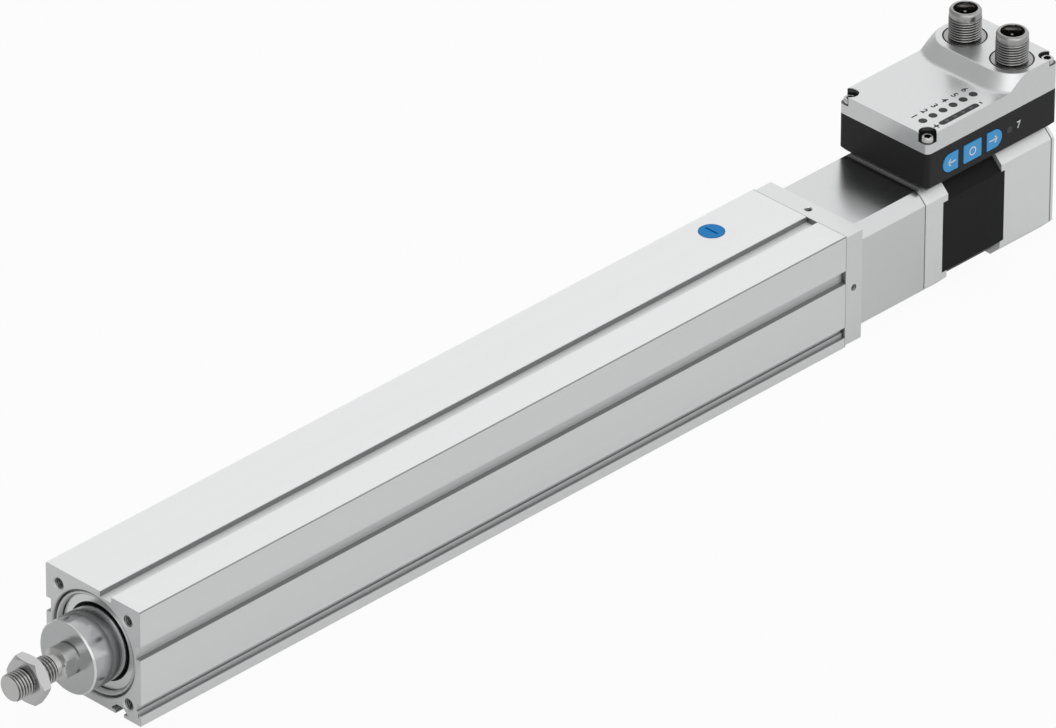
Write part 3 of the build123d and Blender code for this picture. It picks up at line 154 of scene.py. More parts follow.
class Groups:
    """Shader node groups that several finishes share."""

    recess_shade_amount: float = 0.92

    def __init__(self) -> None:
        """Make the groups once."""
        self.variation = self._variation()
        self.groove = self._groove()
        self.recess = self._recess()
        self.seam = self._joint_and_light_line()

    @staticmethod
    def _start(name: str, inputs: dict[str, object], values: tuple[str, ...] = ()) -> tuple:
        """Start a node group that takes a vector and a colour and puts out a colour.

        Args:
            name: Name of the group.
            inputs: Default value of each further input: a number, a colour, or None for a vector.
            values: Names of further outputs, which are numbers.

        Returns:
            The node tree, the sockets that it is given, those that it fills and its maker of math nodes.
        """
        tree = bpy.data.node_groups.new(name, "ShaderNodeTree")
        for label, value in ({"Vector": None, "Color": PLAIN_GREY} | inputs).items():
            kind = "Vector" if value is None else "Color" if isinstance(value, tuple) else "Float"
            socket = tree.interface.new_socket(name=label, in_out="INPUT", socket_type=f"NodeSocket{kind}")
            if value is not None:
                socket.default_value = value
        for label in ("Color", *values):
            kind = "Float" if label in values else "Color"
            tree.interface.new_socket(name=label, in_out="OUTPUT", socket_type=f"NodeSocket{kind}")
        given, end = tree.nodes.new("NodeGroupInput").outputs, tree.nodes.new("NodeGroupOutput").inputs
        return tree, given, end, partial(maths, tree)

    def _variation(self) -> NodeTree:
        """Small changes of colour, roughness and height over the surface.

        Two noises are read from the same coordinates. The coarse one shifts the colour's value and the
        roughness about their mean, and the fine one is the height.

        Returns:
            The node group.
        """
        tree, given, end, calc = self._start("surface_variation", {
            "Roughness": 0.4, "Coarse Scale": 30.0, "Fine Scale": 900.0, "Color Amount": 0.03,
            "Roughness Amount": 0.05,
        }, ("Roughness", "Height"))
        coarse, fine = (
            add_node(tree, "TexNoise", {"Vector": given["Vector"], "Scale": given[scale], "Detail": detail})
            for scale, detail in (("Coarse Scale", 3.0), ("Fine Scale", 2.0))
        )
        shift = calc("SUBTRACT", coarse.outputs["Fac"], 0.5)
        value = calc("MULTIPLY_ADD", shift, given["Color Amount"], 1.0)
        tint = add_node(tree, "HueSaturation", {"Value": value, "Color": given["Color"]})
        rough = calc("MULTIPLY_ADD", shift, given["Roughness Amount"], given["Roughness"], clamp=True)
        tree.links.new(tint.outputs["Color"], end["Color"])
        tree.links.new(rough, end["Roughness"])
        tree.links.new(fine.outputs["Fac"], end["Height"])
        return tree

    def _groove(self) -> NodeTree:
        """Painted shade inside the slots of a square profile, mostly on their walls, and in a thin line along its
        long edges.

        The larger of |y| and |z| is how far a point is from the axis, measured square, and says how deep
        in a slot it lies. A slot's wall faces along the other of the two axes, and its floor along the
        same one. An edge is where the smaller of the two nears the half width. End faces stay as they are.

        Returns:
            The node group.
        """
        tree, given, end, calc = self._start("groove_shade", {
            "Normal": None, "Shade": (0.1, 0.1, 0.1, 1.0), "Half Width": 0.0225, "Depth": 0.0004,
            "Wall Amount": 0.8, "Floor Amount": 0.12, "Edge Width": 0.00037, "Edge Amount": 0.75,
        })
        place = add_node(tree, "SeparateXYZ", {0: given["Vector"]}).outputs
        facing = add_node(tree, "SeparateXYZ", {0: given["Normal"]}).outputs
        across, upright = (calc("ABSOLUTE", place[axis]) for axis in ("Y", "Z"))
        turned, raised = (calc("ABSOLUTE", facing[axis]) for axis in ("Y", "Z"))
        below = calc("SUBTRACT", given["Half Width"], calc("MAXIMUM", across, upright))
        share = calc("DIVIDE", below, given["Depth"], clamp=True)
        long_side = calc("LESS_THAN", calc("ABSOLUTE", facing["X"]), 0.5)
        inside = calc("MULTIPLY", share, long_side)
        in_top = calc("GREATER_THAN", upright, across)
        in_side = calc("SUBTRACT", 1.0, in_top)
        wall = calc("ADD", calc("MULTIPLY", in_top, turned), calc("MULTIPLY", in_side, raised), clamp=True)
        floor = calc("SUBTRACT", 1.0, wall)
        wall = calc("MULTIPLY", wall, given["Wall Amount"])
        floor = calc("MULTIPLY", floor, given["Floor Amount"])
        slot = calc("MULTIPLY", inside, calc("ADD", wall, floor))
        from_edge = calc("SUBTRACT", given["Half Width"], calc("MINIMUM", across, upright))
        line = calc("MULTIPLY", calc("LESS_THAN", from_edge, given["Edge Width"]), long_side)
        line = calc("MULTIPLY", line, given["Edge Amount"])
        tree.links.new(blend(tree, calc("MAXIMUM", slot, line), given["Color"], given["Shade"]), end["Color"])
        return tree

    def _joint_and_light_line(self) -> NodeTree:
        """Thin line in a plane across the axis: dark at a joint, a painted highlight at a turned edge, or painted
        shade under a part that sits on another.

        Where |x - line x| is under the width and z over the low limit, the colour goes over to the shade.

        Returns:
            The node group.
        """
        tree, given, end, calc = self._start("joint_and_painted_light", {
            "Shade": DARK_SHADE, "Line X": 0.3796, "Width": 0.00026, "Low": -0.1, "Amount": 0.75,
        })
        place = add_node(tree, "SeparateXYZ", {0: given["Vector"]}).outputs
        off = calc("ABSOLUTE", calc("SUBTRACT", place["X"], given["Line X"]))
        line = calc("LESS_THAN", off, given["Width"])
        above = calc("GREATER_THAN", place["Z"], given["Low"])
        mask = calc("MULTIPLY", calc("MULTIPLY", line, above), given["Amount"])
        tree.links.new(blend(tree, mask, given["Color"], given["Shade"]), end["Color"])
        return tree

    def _recess(self) -> NodeTree:
        """Painted shade in the screw recesses of the drive cover.

        The distance from a screw's axis is the length of (x - screw x, |y| - screw y). Inside the radius,
        below the level and down to the recess's floor the colour goes over to the shade.

        Returns:
            The node group.
        """
        tree, given, end, calc = self._start("recess_shade", {
            "Shade": DARK_SHADE, "Screw X": 0.38275, "Screw Y": 0.01845, "Radius": 0.0033, "Level": 0.0439,
            "Floor": 0.0406,
        })
        place = add_node(tree, "SeparateXYZ", {0: given["Vector"]}).outputs
        dx = calc("SUBTRACT", place["X"], given["Screw X"])
        dy = calc("SUBTRACT", calc("ABSOLUTE", place["Y"]), given["Screw Y"])
        square = calc("ADD", calc("MULTIPLY", dx, dx), calc("MULTIPLY", dy, dy))
        near = calc("LESS_THAN", calc("SQRT", square), given["Radius"])
        low = calc("LESS_THAN", place["Z"], given["Level"])
        high = calc("GREATER_THAN", place["Z"], given["Floor"])
        inside = calc("MULTIPLY", near, calc("MULTIPLY", low, high))
        mask = calc("MULTIPLY", inside, self.recess_shade_amount)
        tree.links.new(blend(tree, mask, given["Color"], given["Shade"]), end["Color"])
        return tree


@dataclass(frozen=True)
class Finish:
    """One surface finish and the material made from it.

    Each line is a dark joint, a painted highlight or a line of painted shade, given as its x, half width, shade
    and lowest z;
    each recess of painted shade is its screw's x, top level and floor; lengths are in millimetres.
    """

    name: str
    color: Triple
    roughness: float = 0.4
    metallic: float = 0.0
    texture: Texture = GRAIN
    grain_size: float = 0.6
    bump: float = 0.05
    color_amount: float = 0.06
    roughness_amount: float = 0.12
    coat: float = 0.0
    specular: float = 0.5
    groove_shade: Triple | None = None
    recesses: tuple[Triple, ...] = ()
    joint_and_light_lines: tuple[tuple[float, ...], ...] = ()
    root_shade_amount: float = 0.0
    made: dict = field(default_factory=dict, compare=False, repr=False)

    def material(self, groups: Groups) -> Material:
        """Make the material, or return the one already made.

        Args:
            groups: The shared node groups.

        Returns:
            The material.
        """
        if "material" in self.made:
            return self.made["material"]
        material = bpy.data.materials.new(self.name)
        material.use_nodes = True
        tree = material.node_tree
        shader = tree.nodes["Principled BSDF"]
        for label, value in (
            ("Metallic", self.metallic), ("Coat Weight", self.coat), ("Coat Roughness", COAT_ROUGHNESS),
            ("Specular IOR Level", self.specular),
        ):
            shader.inputs[label].default_value = value
        place = add_node(tree, "TexCoord").outputs["Object"]
        drawn_out = add_node(tree, "Mapping", {"Vector": place, "Scale": self.texture.value}).outputs["Vector"]
        change = add_node(tree, "Group", {
            "Vector": drawn_out, "Color": (*self.color, 1.0), "Roughness": self.roughness,
            "Coarse Scale": COARSE_SHARE / (self.grain_size * MM), "Fine Scale": 1.0 / (self.grain_size * MM),
            "Color Amount": self.color_amount, "Roughness Amount": self.roughness_amount,
        }, node_tree=groups.variation)
        color = change.outputs["Color"]
        shades = []
        if self.groove_shade is not None:
            normal = add_node(tree, "NewGeometry").outputs["Normal"]
            shades.append((groups.groove, {"Normal": normal, "Shade": (*self.groove_shade, 1.0)}))
        for line_x, half_width, shade, low in self.joint_and_light_lines:
            shades.append((groups.seam, {
                "Line X": line_x * MM, "Width": half_width * MM, "Low": low * MM, "Shade": (*[shade] * 3, 1.0),
            }))
        for screw_x, level, floor in self.recesses:
            shades.append((groups.recess, {"Screw X": screw_x * MM, "Level": level * MM, "Floor": floor * MM}))
        for group, values in shades:
            inputs = {"Vector": place, "Color": color} | values
            color = add_node(tree, "Group", inputs, node_tree=group).outputs["Color"]
        # Painted shade from the mesh's attribute, in thread roots, bores and screw sockets.
        if self.root_shade_amount > 0:
            root = add_node(tree, "Attribute", attribute_name="root").outputs["Fac"]
            color = blend(tree, maths(tree, "MULTIPLY", root, self.root_shade_amount), color, ROOT_SHADE)
        tree.links.new(color, shader.inputs["Base Color"])
        tree.links.new(change.outputs["Roughness"], shader.inputs["Roughness"])
        if self.bump > 0:
            bump = add_node(tree, "Bump", {
                "Strength": self.bump, "Distance": BUMP_DISTANCE * MM, "Height": change.outputs["Height"],
            })
            tree.links.new(bump.outputs["Normal"], shader.inputs["Normal"])
        self.made["material"] = material
        return material


MACHINED = Finish(
    "machined_aluminium", (0.78, 0.785, 0.79), 0.22, 1.0, GRAIN, 0.3, 0.0, 0.03, 0.05,
    joint_and_light_lines=((338.6, 0.26, 0.05, ANY_HEIGHT), (347.1, 0.2, 0.2, ANY_HEIGHT)),
)
STEEL = Finish("bright_steel", (0.60, 0.60, 0.60), 0.26, 1.0, TURNED, 0.2, 0.08, 0.05, 0.1)
# These three paint shade into thread roots, bores and screw sockets, as the mesh's attribute says.
THREADED = Finish("threaded_steel", (0.62, 0.62, 0.615), 0.24, 1.0, GRAIN, 0.2, 0.0, 0.05, 0.1, root_shade_amount=0.9)
TAPPED = Finish("tapped_hole", (0.55, 0.55, 0.55), 0.3, 1.0, GRAIN, 0.2, 0.0, 0.05, 0.1, root_shade_amount=0.97)
NICKEL = Finish("nickel_plate", (0.42, 0.418, 0.415), 0.26, 1.0, GRAIN, 0.3, 0.0, 0.03, 0.06, root_shade_amount=0.95)
SIDE_LENS = Finish("grey_lens", (0.055, 0.055, 0.058), 0.4, 0.0, GRAIN, 0.3, 0.0, 0.1, 0.1, 0.0, 0.3)
SEGMENT = Finish("display_segment", (0.07, 0.07, 0.075), 0.35, 0.0, GRAIN, 0.3, 0.05)
INK = Finish("dark_print", (0.025, 0.025, 0.027), 0.6, 0.0, GRAIN, 0.3, 0.02, 0.1, 0.1, 0.0, 0.2)
WHITE_INK = Finish("white_print", (0.90, 0.93, 0.95), 0.5, 0.0, GRAIN, 0.3, 0.02)

NODE_FINISHES: dict[str, Finish] = {name: finish for names, finish in (
    ("profile_housing", Finish(
        "anodised_profile", (0.85, 0.855, 0.86), 0.42, 0.4, DRAWN, 0.5, 0.12, 0.04, 0.1,
        groove_shade=(0.12, 0.12, 0.122), joint_and_light_lines=((338.6, 0.3, 0.3, ANY_HEIGHT),),
    )),
    ("bearing_flange bearing_cap screw_hub motor_hub piston", MACHINED),
    ("coupling_housing", Finish(
        "brushed_housing", (0.72, 0.725, 0.73), 0.22, 1.0, GRAIN, 0.3, 0.0, 0.03, 0.05,
        joint_and_light_lines=((379.6, 0.26, 0.05, ANY_HEIGHT),),
    )),
    ("motor_front_bell motor_rear_housing motor_rear_cover", Finish(
        "cast_housing", (0.86, 0.865, 0.87), 0.38, 0.6, GRAIN, 0.5, 0.0, 0.03, 0.06,
        # The first two lines are dark joints; the third is painted shade on the bell's top, under the front of
        # the drive base.
        joint_and_light_lines=((379.6, 0.26, 0.05, ANY_HEIGHT), (443.5, 0.26, 0.05, ANY_HEIGHT), (379.95, 0.5, 0.06, 20.7)),
    )),
    ("drive_cover", Finish(
        "silver_paint", (0.76, 0.765, 0.77), 0.3, 0.85, GRAIN, 0.25, 0.0, 0.03, 0.05, coat=0.1,
        # Painted shade in the four screw recesses.
        recesses=((382.75, 44.0, 40.6), (443.25, 49.2, 46.8)),
    )),
    ("piston_rod", Finish(
        "hard_chrome", (0.54, 0.545, 0.55), 0.2, 1.0, TURNED, 0.2, 0.02, 0.05, 0.06,
        # A painted highlight just behind the rod's front edge.
        joint_and_light_lines=((-11.65, 0.35, 0.97, ANY_HEIGHT),),
    )),
    ("power_connector signal_connector board_capacitors", NICKEL),
    ("drive_base connector_inserts rod_bush piston_guides screw_support end_buffers",
     Finish("black_moulding", (0.009, 0.009, 0.01), 0.5, 0.0, GRAIN, 0.25, 0.3, 0.2, 0.1, 0.0, 0.3)),
    ("wiper_seal cover_seal connector_gaskets coupling_spider",
     Finish("black_rubber", (0.006, 0.006, 0.006), 0.6, 0.0, GRAIN, 0.3, 0.2, 0.2, 0.1, 0.0, 0.2)),
    ("stator_core", Finish(
        "lacquered_stack", (0.008, 0.008, 0.009), 0.45, 0.0, LAYERED, 0.35, 0.5, 0.25, 0.15, 0.0, 0.14,
    )),
    ("button_left button_middle button_right",
     Finish("blue_moulding", (0.03, 0.41, 0.88), 0.3, 0.0, GRAIN, 0.3, 0.05, 0.04, 0.05, 0.3)),
    ("grease_plug",
     Finish("blue_plug", (0.002, 0.19, 0.5), 0.5, 0.0, GRAIN, 0.3, 0.0, 0.1, 0.08, 0.0, 0.25)),
    ("light_windows bar_display",
     Finish("smoked_lens", (0.016, 0.016, 0.018), 0.35, 0.0, GRAIN, 0.3, 0.0, 0.1, 0.1, 0.0, 0.35)),
    ("stator_coils",
     Finish("enamelled_copper", (0.62, 0.26, 0.12), 0.3, 0.9, DRAWN, 0.3, 0.3, 0.15, 0.1)),
    ("connector_pins", Finish("plated_pins", (0.62, 0.60, 0.56), 0.3, 1.0, GRAIN, 0.2, 0.03)),
    ("circuit_board encoder_board switch_board",
     Finish("green_board", (0.02, 0.14, 0.06), 0.4, 0.0, GRAIN, 0.4, 0.1, 0.15, 0.1)),
    ("rotor piston_magnet encoder_magnet",
     Finish("dark_iron", (0.22, 0.22, 0.22), 0.45, 0.8, LAYERED, 0.3, 0.3)),
) for name in names.split()}


class Shapes:
    """Meshes worked out from whole arrays."""

    @staticmethod
    def turn(columns: int) -> np.ndarray:
        """Angles at equal steps round a full turn."""
        return np.linspace(0, 2 * np.pi, columns, endpoint=False)

    @staticmethod
    def wave(along: np.ndarray, pitch: float, angle: np.ndarray) -> np.ndarray:
        """Triangle wave of a thread: |2 p - 1|, where p is the fraction of along / pitch - angle / turn.

        Args:
            along: Distances along the axis.
            pitch: Distance between ridges.
            angle: Angles round the axis.

        Returns:
            The wave from 0 to 1, with one row for each distance.
        """
        phase = (along[:, None] / pitch - angle[None, :] / (2 * np.pi)) % 1.0
        return np.abs(2 * phase - 1)

    @staticmethod
    def around(along: np.ndarray, across: np.ndarray, angle: np.ndarray) -> tuple[np.ndarray, ...]:
        """Grids of the place along an axis and of the radius times cos and times sin of the angle."""
        return np.repeat(along[:, None], len(angle), 1), across * np.cos(angle), across * np.sin(angle)

    @staticmethod
    def tube(name: str, place: tuple, material: Material, root: np.ndarray | None = None) -> Object:
        """Make a tube whose rows are closed rings, with quads between neighbouring rows.

        Args:
            name: Name of the object.
            place: Grids of x, y and z in millimetres, one row for each ring.
            material: Its material.
            root: Share of painted shade at each vertex, from 0 on a thread's crest to 1 in its roots, in a bore
                or in a socket.

        Returns:
            The object, linked to the scene, at the origin.
        """
        points = np.stack(place, -1)
        number = np.arange(points[..., 0].size).reshape(points.shape[:2])
        here, there = number[:-1], number[1:]
        quads = np.stack([here, np.roll(here, -1, 1), np.roll(there, -1, 1), there], -1).reshape(-1, 4)
        data = bpy.data.meshes.new(name)
        data.from_pydata((points.reshape(-1, 3) * MM).tolist(), [], quads.tolist())
        if root is not None:
            mask = data.attributes.new("root", "FLOAT", "POINT")
            mask.data.foreach_set("value", root.ravel().astype(np.float32))
        work = bmesh.new()
        work.from_mesh(data)
        bmesh.ops.remove_doubles(work, verts=work.verts, dist=MERGE_DISTANCE)
        bmesh.ops.recalc_face_normals(work, faces=work.faces)
        work.to_mesh(data)
        work.free()
        piece = new_object(name, data)
        data.shade_smooth()
        data.set_sharp_from_angle(angle=radians(SHARP_ANGLE))
        data.materials.append(material)
        LOG.info("built %s", name)
        return piece


@dataclass
class RodEnd:
    """Threaded stud of the rod, with its collar and the flats on it. Lengths are in millimetres."""

    groups: Groups
    tip: float = -38.3
    crest: float = 5.0
    crest_in_nut: float = 4.35
    nut_rear: float = -27.4
    nut_front: float = -32.0
    thread_end: float = -20.2
    pitch: float = 1.25
    thread_depth: float = 0.65
    tip_edge: float = 0.5
    neck: float = 4.2
    cone_start: float = -18.2
    collar_start: float = -17.2
    collar_end: float = -12.9
    collar: float = 5.95
    flats: float = 10.0
    foot: float = 5.4
    rod_face: float = -12.0
    edge: float = 0.1
    edge_run: float = 0.05
    cone_run: Pair = (0.3, 0.6)
    cone_rise: Pair = (0.5, 1.1)
    flank_gain: float = 1.25
    crest_flat: float = 0.12
    ridge_in_nut: float = 0.2
    runout_slope: float = 1.2
    root_shade_gain: float = 1.7
    root_shade_start: float = 0.3
    margin: float = 0.01
    steps: int = 12
    columns: int = 96

    def build(self) -> None:
        """Make the stud as one surface r(x, angle).

        In the thread r falls from the crest by the depth times a triangle wave of x / pitch - angle / turn,
        and a cone cuts it at the tip. Behind it r follows the neck, the cone, the collar and the foot. On
        the collar r is at most half the flats' width over |cos(angle)|.
        """
        thread = np.arange(self.tip, self.thread_end, self.pitch / self.steps)
        rest_x, rest_r = np.array([
            (self.thread_end, self.neck), (self.thread_end + self.edge_run, self.neck),
            (self.cone_start, self.neck), (self.cone_start + self.cone_run[0], self.neck + self.cone_rise[0]),
            (self.cone_start + self.cone_run[1], self.neck + self.cone_rise[1]),
            (self.collar_start, self.collar - self.edge), (self.collar_start + self.edge_run, self.collar),
            (self.collar_end - self.edge_run, self.collar), (self.collar_end, self.collar - self.edge),
            (self.collar_end, self.foot), (self.rod_face, self.foot),
        ]).T
        angle = Shapes.turn(self.columns)
        in_nut = ((thread > self.nut_front - self.margin) & (thread < self.nut_rear + self.margin))[:, None]
        crest = np.where(in_nut, self.crest_in_nut, self.crest)
        depth = np.clip(self.flank_gain * Shapes.wave(thread, self.pitch, angle) - self.crest_flat, 0, 1)
        radius = crest - self.thread_depth * depth * np.where(in_nut, self.ridge_in_nut, 1.0)
        cone = (self.crest - self.tip_edge + (thread - self.tip))[:, None]
        end_cone = (self.neck + (self.thread_end - thread) * self.runout_slope)[:, None]
        radius = np.minimum(np.minimum(radius, cone), np.maximum(end_cone, self.neck))
        on_collar = (rest_x >= self.cone_start) & (rest_x <= self.collar_end)
        flat = self.flats / 2 / np.maximum(np.abs(np.cos(angle)), SMALLEST)
        rest = np.where(on_collar[:, None], np.minimum(rest_r[:, None], flat), rest_r[:, None])
        rest[-2:] = self.foot
        along = np.concatenate([[self.tip], thread, rest_x, [self.rod_face]])
        across = np.pad(np.vstack([radius, rest]), ((1, 1), (0, 0)))
        # Painted shade in the thread roots, none on the tip's cone.
        root = np.zeros(across.shape)
        dark = np.clip(depth * self.root_shade_gain - self.root_shade_start, 0, 1)
        root[1:1 + len(thread)] = dark * (radius < cone) * (thread > self.tip)[:, None]
        place = Shapes.around(along, across, angle)
        piece = Shapes.tube("threaded_stud", place, THREADED.material(self.groups), root)
        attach(piece, "rod")
        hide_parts("rod_stud")


@dataclass
class RoundConnector:
    """Metal shell of a round plug connector with its thread. Lengths are in millimetres."""

    groups: Groups
    x: float = 433.0
    side: float = 11.2
    base: float = 49.5
    flange: float = 7.5
    flange_thickness: float = 1.2
    crest: float = 5.9
    pitch: float = 1.0
    thread_depth: float = 0.5
    thread_top: float = 8.2
    collar: float = 5.75
    height: float = 11.3
    opening: float = 4.3
    rim_edge: float = 0.9
    bottom: float = 43.0
    neck: float = 6.4
    edge: float = 0.1
    foot_edge: float = 0.2
    groove: float = 0.35
    groove_run: Pair = (0.35, 0.5)
    rim_bend: Pair = (0.3, 0.45)
    lip: float = 0.15
    thread_start: float = 0.02
    fade: float = 0.5
    flank_gain: float = 1.2
    crest_flat: float = 0.1
    root_shade_gain: float = 1.5
    root_shade_start: float = 0.15
    steps: int = 12
    columns: int = 96

    def build(self, name: str, node: str, y: float) -> None:
        """Make one shell as a closed surface r(z, angle).

        The rows go up the outside, over the rim and down the bore. In the thread r falls from the crest by
        the depth times a triangle wave of z / pitch - angle / turn.

        Args:
            name: Name of the piece.
            node: The solid it stands for.
            y: Place across the drive unit.
        """
        angle = Shapes.turn(self.columns)
        under, top = self.base - self.flange_thickness, self.base + self.height
        thread_top = self.base + self.thread_top
        low = np.array([
            (self.bottom, self.opening), (self.bottom, self.neck), (under, self.neck), (under, self.flange),
            (self.base - self.edge, self.flange), (self.base, self.flange - self.edge),
            (self.base, self.crest + self.foot_edge),
        ])
        thread = np.arange(self.base + self.thread_start, thread_top, self.pitch / self.steps)
        fade = np.clip((thread_top - thread) / self.fade, 0, 1)[:, None]
        depth = np.clip(self.flank_gain * Shapes.wave(thread, self.pitch, angle) - self.crest_flat, 0, 1) * fade
        ridges = self.crest - self.thread_depth * depth
        high = np.array([
            (thread_top, self.crest - self.groove), (thread_top + self.groove_run[0], self.crest - self.groove),
            (thread_top + self.groove_run[1], self.collar), (top - self.rim_edge, self.collar),
            (top - self.rim_edge * self.rim_bend[0], self.collar - self.rim_edge * self.rim_bend[1]),
            (top, self.collar - self.rim_edge), (top, self.opening + self.lip), (top - self.lip, self.opening),
            (self.bottom, self.opening),
        ])
        ones = np.ones(self.columns)
        along = np.concatenate([low[:, 0], thread, high[:, 0]])
        across = np.vstack([low[:, 1:] * ones, ridges, high[:, 1:] * ones])
        level, east, north = Shapes.around(along, across, angle)
        # Painted shade in the thread roots, and growing down the bore to its bottom.
        root = np.zeros(across.shape)
        root[len(low):len(low) + len(thread)] = np.clip(depth * self.root_shade_gain - self.root_shade_start, 0, 1)
        root[-1] = 1.0
        piece = Shapes.tube(name, (self.x + east, y + north, level), NICKEL.material(self.groups), root)
        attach(piece, "base")
        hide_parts(node)


@dataclass
class HoleThreads:
    """Thread ridges in the round holes of the front face and the flange. Lengths are in millimetres."""

    groups: Groups
    front_place: float = 16.4
    front_wall: float = 2.08
    front_pitch: float = 0.8
    front_depth: float = 0.38
    flange_x: float = 342.9
    flange_half: float = 22.1
    flange_wall: float = 1.235
    flange_pitch: float = 0.5
    flange_depth: float = 0.22
    front_turns: int = 12
    flange_turns: int = 6
    front_inset: float = 0.45
    flange_inset: float = 0.3
    skin: float = 0.02
    flank_gain: float = 1.3
    crest_flat: float = 0.15
    shade_gain: float = 1.3
    shade_depth: float = 1.5
    steps: int = 10
    columns: int = 48

    def _ridges(self, name: str, wall: float, pitch: float, depth: float, turns: int, place: Callable) -> None:
        """Make the ridges of one hole as a closed surface r(s, angle), s running into the hole.

        r is the wall less the depth times a triangle wave of s / pitch - angle / turn. The back of the
        surface is the wall itself.

        Args:
            name: Name of the piece.
            wall: Radius of the hole.
            pitch: Distance between ridges.
            depth: Height of a ridge.
            turns: How many ridges there are.
            place: Function from the distance in, and two sides across, to the three coordinates.
        """
        angle = Shapes.turn(self.columns)
        along = np.arange(0.0, turns * pitch, pitch / self.steps)
        rise = np.clip(self.flank_gain * (1 - Shapes.wave(along, pitch, angle)) - self.crest_flat, 0, 1)
        front = wall - self.skin - depth * rise
        back = np.full((2, self.columns), wall)
        inward = np.concatenate([along, [along[-1], 0.0], [0.0]])
        across = np.vstack([front, back, front[:1]])
        grids = place(*Shapes.around(inward, across, angle))
        # Painted shade in the thread roots, growing deeper into the hole.
        dark = self.shade_gain - self.shade_gain * rise + along[:, None] / (self.shade_depth * wall)
        root = np.vstack([np.clip(dark, 0, 1), np.ones((2, self.columns)), np.zeros((1, self.columns))])
        piece = Shapes.tube(name, grids, TAPPED.material(self.groups), root)
        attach(piece, "base")

    def build(self) -> None:
        """Make the ridges of all holes."""
        sides = (-self.front_place, self.front_place)
        for number, (y, z) in enumerate(((y, z) for y in sides for z in sides), 1):
            self._ridges(
                f"front_hole_thread_{number}", self.front_wall, self.front_pitch, self.front_depth,
                self.front_turns, lambda s, a, b, y=y, z=z: (s + self.front_inset, a + y, b + z),
            )
        x, half, inset = self.flange_x, self.flange_half, self.flange_inset
        for name, place in (
            ("top", lambda s, a, b: (x + a, b, half - inset - s)),
            ("bottom", lambda s, a, b: (x + a, b, s + inset - half)),
            ("near", lambda s, a, b: (x + a, s + inset - half, b)),
            ("far", lambda s, a, b: (x + a, half - inset - s, b)),
        ):
            self._ridges(
                f"flange_hole_thread_{name}", self.flange_wall, self.flange_pitch, self.flange_depth,
                self.flange_turns, place,
            )


@dataclass
class CoverScrews:
    """Socket head screws of the drive cover. Lengths are in millimetres."""

    groups: Groups
    front_x: float = 382.75
    rear_x: float = 443.25
    side: float = 18.45
    front_seat: float = 40.7
    rear_seat: float = 46.9
    head_radius: float = 2.3
    head_height: float = 1.75
    head_edge: float = 0.35
    socket_radius: float = 1.25
    socket_depth: float = 1.1
    shank_radius: float = 1.2
    shank_end: float = 30.0
    edge: float = 0.12
    edge_bend: float = 0.35
    socket_edge: float = 0.08
    star_points: int = 6
    star_depth: float = 0.1
    head_rows: int = 7
    columns: int = 60

    def build(self) -> None:
        """Make four screws as closed surfaces r(z, angle).

        The rows go up the shank and the head, over its rounded edge and down the socket. The socket's r is
        its radius times one plus a tenth of the cosine of six times the angle, which makes a star.
        """
        angle = Shapes.turn(self.columns)
        star = 1 + self.star_depth * np.cos(self.star_points * angle)
        number = 0
        for x, seat in ((self.front_x, self.front_seat), (self.rear_x, self.rear_seat)):
            top, low = seat + self.head_height, seat + self.head_height - self.socket_depth
            heights = np.array([
                self.shank_end, self.shank_end, seat, seat, top - self.head_edge,
                top - self.head_edge * self.edge_bend, top, top, top - self.socket_edge, low, low,
            ])
            radii = np.array([
                0, self.shank_radius, self.shank_radius, self.head_radius, self.head_radius,
                self.head_radius - self.edge, self.head_radius - self.head_edge,
                self.socket_radius + self.edge, self.socket_radius, self.socket_radius, 0,
            ])[:, None]
            reach = np.vstack([radii[:self.head_rows] * np.ones(self.columns), radii[self.head_rows:] * star])
            level, east, north = Shapes.around(heights, reach, angle)
            # Painted shade inside the socket.
            depth = np.zeros(level.shape)
            depth[self.head_rows + 1:] = 1.0
            for y in (-self.side, self.side):
                number += 1
                place = (x + east, y + north, level)
                piece = Shapes.tube(f"cover_screw_{number}", place, THREADED.material(self.groups), depth)
                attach(piece, "base")
                if number == 1:
                    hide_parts("cover_screws")


